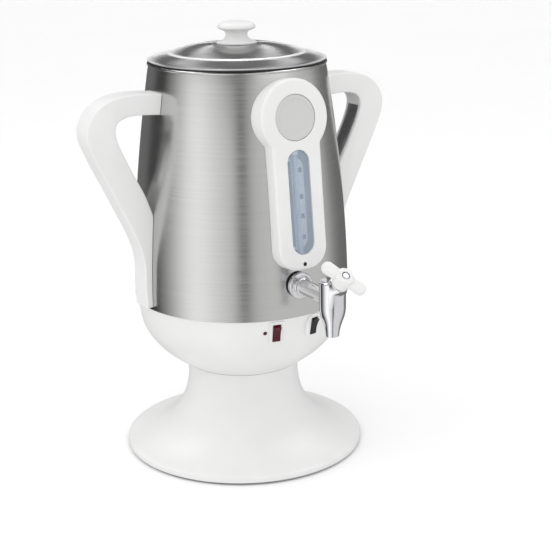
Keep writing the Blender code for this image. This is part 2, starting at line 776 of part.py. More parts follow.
# Vessel
def make_vessel():
    """The steel vessel: side, raised floor and rolled rim in one, with its holes."""
    roll_centre = (VESSEL_RIM_RADIUS, VESSEL_RIM_HEIGHT)
    roll = arc(roll_centre, VESSEL_RIM_ROLL, 90, -90, 3)
    floor = VESSEL_BOTTOM + VESSEL_FLOOR_RISE
    inner = [(r - VESSEL_WALL, z) for r, z in vessel_side(5) if z > floor + VESSEL_WALL]
    inner.reverse()
    corner = VESSEL_RADIUS - VESSEL_WALL
    profile = [(0, floor + VESSEL_WALL), (corner, floor + VESSEL_WALL)] + inner
    profile += roll + vessel_side(5)[1:]
    profile += [(corner, VESSEL_BOTTOM), (corner, floor), (0, floor)]
    vessel = turned("vessel", profile, STEEL, BODY_SIDES)
    spot = panel_screw_spot()
    boss = rod("panel_boss", PANEL_BOSS_RADIUS, -VESSEL_WALL / 2, PANEL_BOSS_HEIGHT, STEEL, SMALL_SIDES,
               spot)
    join(vessel, boss)
    combine(vessel, rod("panel_boss_bore", SCREW_RADIUS + GAP, GAP, PANEL_BOSS_HEIGHT + OVERRUN, None,
                        SMALL_SIDES,
                        spot, True))
    for name, radius, place in wall_holes():
        hole = rod(name, radius + GAP, -2 * OVERRUN, 2 * OVERRUN, None, SMALL_SIDES, place, True)
        combine(vessel, hole)

    gasket_top = floor - GAP
    spigot_inner = VESSEL_RADIUS - VESSEL_WALL - GAP - BOWL_WALL
    spigot_top = VESSEL_BOTTOM - GAP + SPIGOT_HEIGHT
    section = ring_profile(spigot_inner, spigot_inner + GASKET_WIDTH, spigot_top + GAP, gasket_top)
    turned("vessel_gasket", section, SILICONE, BODY_SIDES, closed=True)


def wall_place(azimuth, height):
    """A frame on the vessel's wall: Z points level outwards, Y up."""
    return place_at(direction(azimuth) * vessel_radius(height) + Vector((0, 0, height)),
                    direction(azimuth + 90), direction(azimuth))


def handle_height(share):
    """A height along the handle."""
    return HANDLE_FOOT_HEIGHT + share * HANDLE_HEIGHT


def wall_holes():
    """Name, radius and place of every hole through the vessel's wall."""
    holes = [("tap_hole", TAP_SHANK_RADIUS, wall_place(0, TAP_HEIGHT))]
    for name, place in port_places():
        holes.append((name + "_hole", PORT_RADIUS, place))
    for side, azimuth in (("left", -90), ("right", 90)):
        for level, share in (("high", HANDLE_SCREW_HIGH_SHARE), ("low", HANDLE_SCREW_LOW_SHARE)):
            holes.append(("%s_%s_hole" % (side, level), SCREW_RADIUS,
                          wall_place(azimuth, handle_height(share))))
    return holes


# Lid
def shared(shares, low, high):
    """Points given as shares of the widths and heights between two corners."""
    return [(low[0] + (high[0] - low[0]) * across, low[1] + (high[1] - low[1]) * up)
            for across, up in shares]


def height_at(outline, radius):
    """Height of an outline at one radius."""
    for (near, near_height), (far, far_height) in zip(outline, outline[1:]):
        if near <= radius <= far:
            return near_height + (far_height - near_height) * (radius - near) / (far - near)
    raise RuntimeError("The outline doesn't reach that radius")


def make_lid():
    """The lid with its skirt in one, its seal and its knob."""
    seal_low = VESSEL_RIM_HEIGHT + VESSEL_RIM_ROLL + GAP
    seal_high = seal_low + LID_SEAL_HEIGHT
    edge = seal_high + GAP
    lip = edge + LID_LIP_HEIGHT
    step = lip + LID_SHOULDER_RISE
    dome_edge = step + LID_STEP_RISE
    crown = dome_edge + LID_DOME_RISE
    dome = bezier((LID_CROWN_RADIUS, crown),
                  *shared(LID_DOME_SHARES, (LID_CROWN_RADIUS, dome_edge), (LID_DOME_RADIUS, crown)),
                  (LID_DOME_RADIUS, dome_edge), 3)
    shoulder = bezier((LID_STEP_RADIUS, step),
                      *shared(LID_SHOULDER_SHARES, (LID_STEP_RADIUS, lip), (LID_RADIUS, step)),
                      (LID_RADIUS, lip), 4)
    hole = SCREW_RADIUS + GAP
    lid = turned("lid", [(hole, crown)] + dome + shoulder + [(LID_RADIUS, edge)], STEEL, BODY_SIDES)
    thicken(lid, LID_WALL)

    skirt_outer = VESSEL_RIM_RADIUS - VESSEL_WALL - LID_SKIRT_CLEARANCE
    skirt_high = height_at(shoulder, skirt_outer - LID_WALL / 2) - LID_WALL / 2
    join(lid, turned("lid_skirt",
                     ring_profile(skirt_outer - LID_WALL, skirt_outer, seal_low - LID_SKIRT_DEPTH,
                                  skirt_high), STEEL, BODY_SIDES, closed=True))
    turned("lid_seal", ring_profile(skirt_outer + GAP, skirt_outer + GAP + LID_SEAL_WIDTH, seal_low,
                                    seal_high),
           SILICONE, BODY_SIDES, closed=True)
    make_knob(crown)


def make_knob(crown):
    """The knob and its screw."""
    base = crown + GAP
    cap = base + KNOB_CAP_EDGE_HEIGHT
    top = base + KNOB_HEIGHT
    neck = base + KNOB_NECK_HEIGHT
    hole = SCREW_RADIUS + GAP
    profile = bezier((0, top), (KNOB_CAP_RADIUS * 0.6, top), (KNOB_CAP_RADIUS, top - (top - cap) * 0.2),
                     (KNOB_CAP_RADIUS, cap), 4)
    profile += bezier((KNOB_CAP_RADIUS - KNOB_BASE_EDGE, cap - KNOB_BASE_EDGE),
                      (KNOB_NECK_RADIUS * 1.3, cap - KNOB_CAP_UNDERCUT),
                      (KNOB_NECK_RADIUS, cap - KNOB_CAP_UNDERCUT),
                      (KNOB_NECK_RADIUS, neck), 3)
    profile += bezier((KNOB_NECK_RADIUS, neck), (KNOB_NECK_RADIUS, neck - (neck - base) * 0.6),
                      (KNOB_BASE_RADIUS * 0.8, base + KNOB_BASE_EDGE * 1.5),
                      (KNOB_BASE_RADIUS, base + KNOB_BASE_EDGE), 4)[1:]
    profile += [(KNOB_BASE_RADIUS, base), (hole, base), (hole, base + KNOB_HOLE_DEPTH),
                (0, base + KNOB_HOLE_DEPTH)]
    turned("lid_knob", profile, WHITE, RING_SIDES)

    under = crown - LID_WALL - GAP
    turned("knob_screw", screw_profile(base - under + KNOB_HOLE_DEPTH - 2 * GAP), ZINC, SMALL_SIDES,
           Matrix.Translation((0, 0, under)) @ Matrix.Rotation(math.pi, 4, "X"))


# Stud, heating and terminal block
def make_heating():
    """The heat plate, element, sensors and the bridge that holds them, on the central stud."""
    plate_top = VESSEL_BOTTOM + VESSEL_FLOOR_RISE - GAP
    plate_low = plate_top - HEAT_PLATE_THICKNESS
    rod("central_stud", STUD_RADIUS, SEAM_HEIGHT - STUD_TAIL, plate_low - GAP, ZINC)
    rod("heat_plate", HEAT_PLATE_RADIUS, plate_low, plate_top, ALUMINIUM, BODY_SIDES)

    tube_height = plate_low - GAP - ELEMENT_TUBE
    steps = 22
    start = 180 - ELEMENT_SWEEP / 2
    ring = []
    for step in range(steps + 1):
        ring.append(direction(start + ELEMENT_SWEEP * step / steps) * ELEMENT_RADIUS + Vector((0, 0,
                                                                                               tube_height)))
    drops = [end - Vector((0, 0, ELEMENT_DROP)) for end in (ring[0], ring[-1])]
    element = meshed(wire("heating_element", [drops[0]] + ring + [drops[1]], ELEMENT_TUBE, STEEL, 1))
    for index, end in enumerate(drops):
        join(element, rod("element_pin_%d" % index, TERMINAL_RADIUS, -TERMINAL_LENGTH, TERMINAL_LENGTH / 4,
                          STEEL,
                          SMALL_SIDES, Matrix.Translation(end)))

    sensor_top = plate_low - GAP
    for name, side in (("keep_warm_thermostat", 1), ("thermal_cutout", -1)):
        place = Matrix.Translation((side * SENSOR_OFFSET, 0, sensor_top))
        lip = SENSOR_HEIGHT * 0.3
        body = turned(name, [
            (0, 0), (SENSOR_RADIUS, 0), (SENSOR_RADIUS, -lip), (SENSOR_RADIUS * 0.85, -lip),
            (SENSOR_RADIUS * 0.85, -SENSOR_HEIGHT), (0, -SENSOR_HEIGHT),
        ], CREAM if side > 0 else DARK, SMALL_SIDES, place)
        half = SENSOR_TAB_WIDTH / 2
        for end, sign in (("a", 1), ("b", -1)):
            reach = sorted((sign * SENSOR_RADIUS * 0.5, sign * (SENSOR_RADIUS + SENSOR_TAB_LENGTH)))
            tab = box("%s_tab_%s" % (name, end), (-half, reach[0], -SENSOR_HEIGHT + SENSOR_TAB_THICKNESS),
                      (half, reach[1], -SENSOR_HEIGHT + 2 * SENSOR_TAB_THICKNESS), BRASS, place)
            join(body, tab)

    bridge_top = sensor_top - SENSOR_HEIGHT - GAP
    bridge_low = bridge_top - BRIDGE_THICKNESS
    reach = SENSOR_OFFSET + BRIDGE_OVERLAP
    outline = rounded_rectangle(reach, BRIDGE_WIDTH / 2, BRIDGE_WIDTH * 0.45, 3)
    bridge = plate("sensor_bridge", outline, bridge_low, bridge_top, ZINC)
    combine(bridge, rod("bridge_hole", STUD_RADIUS + GAP, bridge_low - OVERRUN, bridge_top + OVERRUN, None,
                        SMALL_SIDES, None, True))
    hole = STUD_RADIUS + GAP
    nut_place = Matrix.Translation((0, 0, bridge_low - GAP - STUD_NUT_HEIGHT))
    hexagon_nut("bridge_nut", hole, STUD_NUT_RADIUS, STUD_NUT_HEIGHT, ZINC, nut_place)
    nut_place = Matrix.Translation((0, 0, SEAM_HEIGHT - FOOT_WALL - GAP - STUD_NUT_HEIGHT))
    nut = rod("stud_nut", STUD_NUT_RADIUS, 0, STUD_NUT_HEIGHT, ZINC, 6, nut_place)
    join(nut, rod("stud_nut_flange", STUD_FLANGE_RADIUS, STUD_NUT_HEIGHT - STUD_FLANGE_THICKNESS,
                  STUD_NUT_HEIGHT,
                  ZINC, SMALL_SIDES, nut_place))
    combine(nut, rod("stud_nut_bore", hole, -OVERRUN, STUD_NUT_HEIGHT + OVERRUN, None, SMALL_SIDES,
                     nut_place,
                     True))


def hexagon_nut(name, hole, radius, height, colour, place):
    """A six-sided nut with a round hole, standing on its own zero."""
    nut = rod(name, radius, 0, height, colour, 6, place)
    return combine(nut, rod(name + "_bore", hole, -OVERRUN, height + OVERRUN, None, SMALL_SIDES, place,
                            True))


def make_terminal_block():
    """The three-pole block on the bowl's floor."""
    floor = SEAM_HEIGHT + GAP + BOWL_WALL + GAP
    place = Matrix.Translation((0, BLOCK_PLACE, floor))
    block = box("terminal_block", (-BLOCK_LENGTH / 2, -BLOCK_WIDTH / 2, 0),
                (BLOCK_LENGTH / 2, BLOCK_WIDTH / 2, BLOCK_HEIGHT), CREAM, place)
    pitch = BLOCK_LENGTH / BLOCK_POLES
    for pole in range(BLOCK_POLES):
        x = (pole - (BLOCK_POLES - 1) / 2) * pitch
        hole = place_at((x, BLOCK_PLACE, floor + BLOCK_HEIGHT / 2), X_AXIS, (0, 1, 0))
        combine(block, rod("pole_%d" % pole, BLOCK_HOLE_RADIUS, -BLOCK_WIDTH, BLOCK_WIDTH, None, SMALL_SIDES,
                           hole, True))


# Wires inside the bowl
def make_wires():
    """The wires from the inlet: live to the power switch, earth and neutral to the terminal block."""
    inlet = on_bowl(180, INLET_HEIGHT, INLET_LEAN)
    tail = -INLET_DEPTH - PIN_TAIL - WIRE_STAND_OFF
    starts = []
    for x, y in pin_spots():
        starts.append([inlet @ Vector((x, y, tail)), inlet @ Vector((x, y, tail - WIRE_LEAD))])
    neutral, earth, live = starts
    switch = on_bowl(POWER_AZIMUTH, SWITCH_HEIGHT, SWITCH_LEAN)
    blade = rocker_opening()[1] * BLADE_SPREAD_SHARE
    reach = -SWITCH_DEPTH - BLADE_LENGTH - WIRE_STAND_OFF
    end = [switch @ Vector((0, blade, reach - WIRE_LEAD)), switch @ Vector((0, blade, reach))]
    live += [direction(azimuth) * radius + Vector((0, 0, height)) for radius, azimuth,
             height in LIVE_SWEEP] + end
    wire("wire_live", through(live, WIRE_STEPS), WIRE_RADIUS, BROWN)
    pole_height = SEAM_HEIGHT + BOWL_WALL + 2 * GAP + BLOCK_HEIGHT / 2
    mouth = BLOCK_PLACE + BLOCK_WIDTH / 2
    for name, points, x, colour in (("wire_earth", earth, 0, GREEN),
                                    ("wire_neutral", neutral, BLOCK_LENGTH / BLOCK_POLES, BLUE)):
        points += [Vector((x, y, height)) for y, height in BLOCK_DROP]
        points += [Vector((x, mouth, pole_height)), Vector((x, mouth - WIRE_INSET, pole_height))]
        wire(name, through(points, WIRE_STEPS), WIRE_RADIUS, colour)


def pin_spots():
    """The three pins' places in the inlet's frame: neutral, earth and line."""
    return (-PIN_SPACING, -PIN_RISE), (0, PIN_RISE), (PIN_SPACING, -PIN_RISE)


# Switches, lamp and inlet
def rocker_opening():
    """Half width and half length of the opening that a rocker moves in."""
    return ROCKER_HALF_WIDTH + GAP, ROCKER_HALF_LENGTH + ROCKER_END_CLEARANCE


def make_switch(prefix, azimuth, flange_points, frame_colour, rocker_colour, former):
    """A switch: its frame through the bowl's wall and the rocker that tips in it."""
    place = on_bowl(azimuth, SWITCH_HEIGHT, SWITCH_LEAN)
    half_width, half_length = rocker_opening()
    outer_width, outer_length = half_width + SWITCH_WALL, half_length + SWITCH_WALL
    frame = plate(prefix + "_switch_frame", flange_points, -SWITCH_FLANGE, SWITCH_FLANGE, frame_colour,
                  place,
                  SWITCH_FLANGE_ROUND * 0.8)
    combine(frame, former)
    body = box(prefix + "_body", (-outer_width, -outer_length, -SWITCH_DEPTH),
               (outer_width, outer_length, SWITCH_FLANGE / 2), frame_colour, place)
    join(frame, body)
    for index, sign in enumerate((1, -1)):
        middle = sign * half_length * BLADE_SPREAD_SHARE
        join(frame, box("%s_blade_%d" % (prefix, index),
                        (-BLADE_THICKNESS / 2, middle - BLADE_WIDTH / 2, -SWITCH_DEPTH - BLADE_LENGTH),
                        (BLADE_THICKNESS / 2, middle + BLADE_WIDTH / 2, -SWITCH_DEPTH + BLADE_THICKNESS),
                        frame_colour, place))
    well = ROCKER_PIVOT_DEPTH + ROCKER_BELLY + GAP
    combine(frame, box(prefix + "_well", (-half_width, -half_length, SWITCH_FLANGE - well),
                       (half_width, half_length, OVERRUN), None, place, True))
    pivot_height = SWITCH_FLANGE - ROCKER_PIVOT_DEPTH
    pivot = place @ Matrix.Translation((0, 0, pivot_height)) @ Matrix.Rotation(math.radians(90), 4, "Y")
    pin_reach = ROCKER_HALF_WIDTH + SWITCH_WALL * 0.7
    combine(frame, rod(prefix + "_pivot_hole", ROCKER_PIN_RADIUS + GAP, -pin_reach - GAP, pin_reach + GAP,
                       None,
                       SMALL_SIDES, pivot, True))

    top = ROCKER_PIVOT_DEPTH + ROCKER_PROUD
    valley = ROCKER_PIVOT_DEPTH + ROCKER_VALLEY
    side = [(-ROCKER_HALF_LENGTH, top), (-ROCKER_HALF_LENGTH, 0)]
    belly = ROCKER_HALF_LENGTH * 0.72
    side += bezier((-belly, -ROCKER_BELLY / 2), (-belly / 2, -ROCKER_BELLY), (belly / 2, -ROCKER_BELLY),
                   (belly, -ROCKER_BELLY / 2), 4)
    side += [(ROCKER_HALF_LENGTH, 0), (ROCKER_HALF_LENGTH, top), (0, valley)]
    tilt = Matrix.Rotation(math.radians(ROCKER_TILT), 4, "X")
    upright = Matrix(((0, 0, 1, 0), (1, 0, 0, 0), (0, 1, 0, 0), (0, 0, 0, 1)))
    seat = place @ Matrix.Translation((0, 0, pivot_height)) @ tilt @ upright
    rocker = plate(prefix + "_rocker", side, -ROCKER_HALF_WIDTH, ROCKER_HALF_WIDTH, rocker_colour, seat)
    join(rocker, rod(prefix + "_rocker_pin", ROCKER_PIN_RADIUS, -pin_reach, pin_reach, rocker_colour,
                     SMALL_SIDES,
                     seat))


def make_switches(former):
    """Both switches and the lamp."""
    half_width, half_length = rocker_opening()
    margin = SWITCH_WALL + POWER_FLANGE_MARGIN
    power = rounded_rectangle(half_width + margin, half_length + margin, 0.6 * margin, 2)
    warm = rounded_rectangle(WARM_FLANGE_HALF_WIDTH, WARM_FLANGE_HALF_LENGTH, WARM_FLANGE_HALF_WIDTH * 0.92,
                             4)
    make_switch("power", POWER_AZIMUTH, power, WHITE, RED, former)
    make_switch("warm", WARM_AZIMUTH, warm, WHITE, DARK, former)
    lamp = on_bowl(LAMP_AZIMUTH, SWITCH_HEIGHT, SWITCH_LEAN)
    turned("power_lamp", [
        (0, LAMP_PROUD), (LAMP_RADIUS * 0.7, LAMP_PROUD * 0.8), (LAMP_RADIUS, 0),
        (LAMP_RADIUS, -LAMP_LENGTH),
        (0, -LAMP_LENGTH),
    ], RED, SMALL_SIDES, lamp)


def make_inlet(former):
    """The appliance inlet at the back of the bowl, and its three pins."""
    place = on_bowl(180, INLET_HEIGHT, INLET_LEAN)
    margin = INLET_FLANGE_MARGIN
    outline = rounded_rectangle(INLET_HALF_WIDTH + margin, INLET_HALF_HEIGHT + margin, margin, 2)
    inlet = plate("appliance_inlet", outline, -INLET_SEAT, INLET_FLANGE, DARK, place)
    combine(inlet, former)
    body = box("inlet_body", (-INLET_HALF_WIDTH, -INLET_HALF_HEIGHT, -INLET_DEPTH),
               (INLET_HALF_WIDTH, INLET_HALF_HEIGHT, INLET_FLANGE / 2), DARK, place)
    join(inlet, body)
    socket = rounded_rectangle(INLET_HALF_WIDTH - INLET_WALL, INLET_HALF_HEIGHT - INLET_WALL, INLET_CORNER,
                               2)
    floor = INLET_FLANGE - INLET_SOCKET_DEPTH
    combine(inlet, plate("inlet_socket", socket, floor, INLET_FLANGE + OVERRUN, None, place, 0.0, True))
    pin = box("inlet_pin", (-PIN_HALF_THICKNESS, -PIN_HALF_WIDTH, -INLET_DEPTH - PIN_TAIL),
              (PIN_HALF_THICKNESS, PIN_HALF_WIDTH, INLET_FLANGE - PIN_SETBACK), BRASS)
    spots = [place @ Matrix.Translation((x, y, 0)) for x, y in pin_spots()]
    slot = box("inlet_slot", (-PIN_HALF_THICKNESS - GAP, -PIN_HALF_WIDTH - GAP, -INLET_DEPTH - OVERRUN),
               (PIN_HALF_THICKNESS + GAP, PIN_HALF_WIDTH + GAP, 0), BRASS)
    repeated(["inlet_pin_neutral", "inlet_pin_earth", "inlet_pin_line"], pin, spots)
    combine(inlet, grouped("inlet_slots", slot, spots))


# Gauge panel
def panel_slope():
    """The angle by which the panel leans back with the wall, in radians."""
    drop = vessel_radius(PANEL_LOW) - vessel_radius(PANEL_HIGH)
    return math.atan2(drop, PANEL_HIGH - PANEL_LOW)


def panel_place():
    """The panel's frame: origin at its lower end on the wall, X across, Y up along it, Z out of it."""
    slope = panel_slope()
    out = Vector((0, -math.cos(slope), math.sin(slope)))
    return place_at((0, -vessel_radius(PANEL_LOW), PANEL_LOW), X_AXIS, out)


def panel_length():
    """The panel's length along its slope."""
    return (PANEL_HIGH - PANEL_LOW) / math.cos(panel_slope())


def head_height():
    """The middle of the panel's round head, along its slope."""
    return panel_length() - PANEL_HEAD_RADIUS


def window_high():
    """The upper end of the window and of the sight tube, along the slope."""
    return head_height() - WINDOW_HEAD_DROP


def panel_outline(inset):
    """The panel's outline, moved inwards: a column with a round foot and a round head."""
    head = PANEL_HEAD_RADIUS - inset
    head_centre = head_height()
    half = PANEL_HALF_WIDTH - inset
    corner = PANEL_CORNER - inset
    fillet = PANEL_NECK_FILLET + inset
    rise = math.sqrt((head + fillet) ** 2 - (half + fillet) ** 2)
    meet = math.degrees(math.atan2(-rise, half + fillet))
    right = arc((half - corner, inset + corner), corner, -90, 0, 5)
    right += arc((half + fillet, head_centre - rise), fillet, 180, 180 + meet, 3)
    right += arc((0, head_centre), head, meet, 90, 10)
    left = [(-x, y) for x, y in reversed(right[:-1])]
    return right + left


def stadium(half_width, low, high, inset=0.0, steps=6):
    """An upright slot with round ends, moved inwards by inset."""
    radius = half_width - inset
    upper = arc((0, high - half_width), radius, 0, 180, steps)
    lower = arc((0, low + half_width), radius, 180, 360, steps)
    return upper + lower


def port_places():
    """Frames on the wall for the lower and upper gauge ports: Z level and outwards."""
    slope = panel_slope()
    ends = []
    for name, along in (("lower_port", TUBE_LOW - PORT_HEIGHT / 4),
                        ("upper_port", window_high() + PORT_HEIGHT / 4)):
        height = PANEL_LOW + along * math.cos(slope)
        ends.append((name, wall_place(0, height)))
    return ends


def panel_screw_spot():
    """The frame on the wall for the screw in the panel's head: Z along the panel's slope."""
    head_centre = head_height()
    place = panel_place()
    chord = place @ Vector((0, head_centre, 0))
    bulge = (vessel_radius(chord.z) + chord.y) * math.cos(panel_slope())
    return place @ Matrix.Translation((0, head_centre, bulge))


def make_panel(former):
    """The gauge panel's housing with its window, badge, tube, scale and screw."""
    place = panel_place()
    housing = plate("gauge_housing", panel_outline(0.0), -PANEL_BACK_DEPTH, PANEL_PROUD, WHITE, place,
                    PANEL_EDGE)
    housing_core = plate("housing_core", panel_outline(PANEL_WALL), -PANEL_BACK_DEPTH - OVERRUN,
                         PANEL_PROUD - PANEL_HEAD_WALL, None, place, 0.0, True)
    combine(housing, former)
    combine(housing, housing_core)
    head_centre = head_height()
    column = stadium(PANEL_HALF_WIDTH - PANEL_WALL - PANEL_EDGE / 2, PANEL_WALL + PANEL_EDGE / 2,
                     head_centre - BADGE_RADIUS - PANEL_WALL)
    combine(housing, plate("housing_column", column, -PANEL_BACK_DEPTH, PANEL_PROUD - PANEL_WALL, None,
                           place,
                           0.0, True))
    recess = Matrix.Translation((0, head_centre, 0))
    front = PANEL_PROUD
    combine(housing, rod("badge_recess", BADGE_RADIUS + GAP, front - BADGE_SINK - BADGE_DEPTH - GAP,
                         front + OVERRUN, None, RING_SIDES, place @ recess, True))
    spot = panel_screw_spot()
    seat = (place.inverted() @ spot).translation.z + PANEL_BOSS_HEIGHT + GAP
    housing_boss = rod("housing_boss", PANEL_BOSS_RADIUS, seat, front - PANEL_HEAD_WALL / 2, WHITE,
                       SMALL_SIDES,
                       place @ recess)
    join(housing, housing_boss)
    head_seat = front - BADGE_SINK - BADGE_DEPTH - GAP - SCREW_HEAD_HEIGHT - GAP
    combine(housing, rod("screw_dish", SCREW_HEAD_RADIUS + GAP, head_seat, front, None, SMALL_SIDES,
                         place @ recess, True))
    combine(housing, rod("screw_way", SCREW_RADIUS + GAP, seat - OVERRUN, front, None, SMALL_SIDES,
                         place @ recess, True))
    turned("panel_screw", screw_profile(head_seat + GAP - seat + PANEL_BOSS_HEIGHT - GAP), ZINC, SMALL_SIDES,
           place @ recess @ Matrix.Translation((0, 0, head_seat + GAP)))
    window = stadium(WINDOW_HALF_WIDTH, WINDOW_LOW, window_high(), -GAP)
    combine(housing, plate("window_opening", window, front - 2 * PANEL_WALL, front + OVERRUN, None, place,
                           0.0, True))
    dot = place @ Matrix.Translation((0, PANEL_DOT_HEIGHT, 0))
    combine(housing, rod("dot_hole", PANEL_DOT_RADIUS + GAP, front - OVERRUN, front + OVERRUN, None,
                         SMALL_SIDES,
                         dot, True))

    make_badge(place @ recess)
    make_window(place)
    rod("panel_dot", PANEL_DOT_RADIUS, front - PANEL_DOT_SINK - PANEL_DOT_LENGTH, front - PANEL_DOT_SINK,
        DARK,
        SMALL_SIDES, dot)
    make_gauge(place)


def make_badge(place):
    """The plain disc in the panel's head, which hides the screw."""
    top = PANEL_PROUD - BADGE_SINK
    low = top - BADGE_DEPTH
    edge = BADGE_DEPTH * 0.4
    profile = [(0, top - edge)]
    profile += [(BADGE_RADIUS * 0.8, top - edge), (BADGE_RADIUS * 0.9, top), (BADGE_RADIUS - edge, top),
                (BADGE_RADIUS, top - edge), (BADGE_RADIUS, low), (0, low)]
    turned("badge_disc", profile, WHITE, RING_SIDES, place)


def make_window(place):
    """The clear window, flush in the column, with a flange behind the wall."""
    front = PANEL_PROUD - WINDOW_SINK
    back = PANEL_PROUD - PANEL_WALL - GAP
    window = plate("gauge_window", stadium(WINDOW_HALF_WIDTH, WINDOW_LOW, window_high()),
                   back - WINDOW_KEY, front, CLEAR_BLUE, place)
    flange = stadium(WINDOW_HALF_WIDTH + WINDOW_FLANGE, WINDOW_LOW + WINDOW_FLANGE_END,
                     window_high() - WINDOW_FLANGE_END)
    join(window, plate("window_flange", flange, back - WINDOW_FLANGE_THICKNESS, back, CLEAR_BLUE, place))


def make_gauge(place):
    """The sight tube, the two ports that carry it, and the scale behind it."""
    centre = TUBE_DEPTH
    tube_place = place @ Matrix.Translation((0, 0, centre)) @ Matrix.Rotation(-math.pi / 2, 4, "X")
    turned("sight_tube", ring_profile(TUBE_BORE, TUBE_RADIUS, TUBE_LOW + GAP, window_high() - GAP),
           CLEAR_BLUE,
           SMALL_SIDES, tube_place, closed=True)
    socket_radius = TUBE_RADIUS + GAP + PORT_SOCKET_WALL
    for (name, spot), sign, end in zip(port_places(), (-1, 1), (TUBE_LOW, window_high())):
        span = sorted((end + sign * PORT_HEIGHT * 0.6, end - sign * PORT_SOCKET_DEPTH))
        port = rod(name, socket_radius, span[0], span[1], CREAM, SMALL_SIDES, tube_place)
        nipple = rod(name + "_nipple", PORT_RADIUS, -PORT_INSIDE, centre, CREAM, SMALL_SIDES, spot)
        flange_low = GAP + FLANGE_STAND_OFF
        flange = rod(name + "_flange", PORT_FLANGE_RADIUS, flange_low, flange_low + PORT_FLANGE_THICKNESS,
                     CREAM,
                     SMALL_SIDES, spot)
        join(port, nipple)
        join(port, flange)
        cup = sorted((end, end - sign * (PORT_SOCKET_DEPTH + OVERRUN)))
        combine(port, rod(name + "_cup", TUBE_RADIUS + GAP, cup[0], cup[1], None, SMALL_SIDES, tube_place,
                          True))
        combine(port, rod(name + "_bore", PORT_BORE, -PORT_INSIDE - OVERRUN, centre, None, SMALL_SIDES,
                          spot, True))
        riser = sorted((end + sign * PORT_HEIGHT / 4, end - sign * OVERRUN))
        combine(port, rod(name + "_riser", TUBE_BORE, riser[0], riser[1], None, SMALL_SIDES, tube_place,
                          True))
        hexagon_nut(name + "_nut", PORT_RADIUS + GAP, PORT_NUT_RADIUS, PORT_NUT_HEIGHT, CREAM,
                    spot @ Matrix.Translation((0, 0, -VESSEL_WALL - WALL_STAND_OFF - PORT_NUT_HEIGHT)))
    low = TUBE_LOW + PORT_SOCKET_DEPTH + SCALE_END
    high = window_high() - PORT_SOCKET_DEPTH - SCALE_END
    back = centre - TUBE_RADIUS - GAP - SCALE_THICKNESS
    plate("scale_plate", stadium(SCALE_HALF_WIDTH, low, high), back, back + SCALE_THICKNESS, SCALE_WHITE,
          place)


# Tap
def tap_centre():
    """The middle of the tap's upright body, on the barrel's axis."""
    return Vector((0, -vessel_radius(TAP_HEIGHT) - TAP_REACH, TAP_HEIGHT))


def stem_place():
    """The lever's axis: Z runs out along the sloping stem, X across."""
    slope = math.radians(BONNET_SLOPE)
    out = Vector((0, -math.sin(slope), math.cos(slope)))
    return place_at(tap_centre() + Vector((0, 0, BONNET_CENTRE_RISE)), X_AXIS, out)


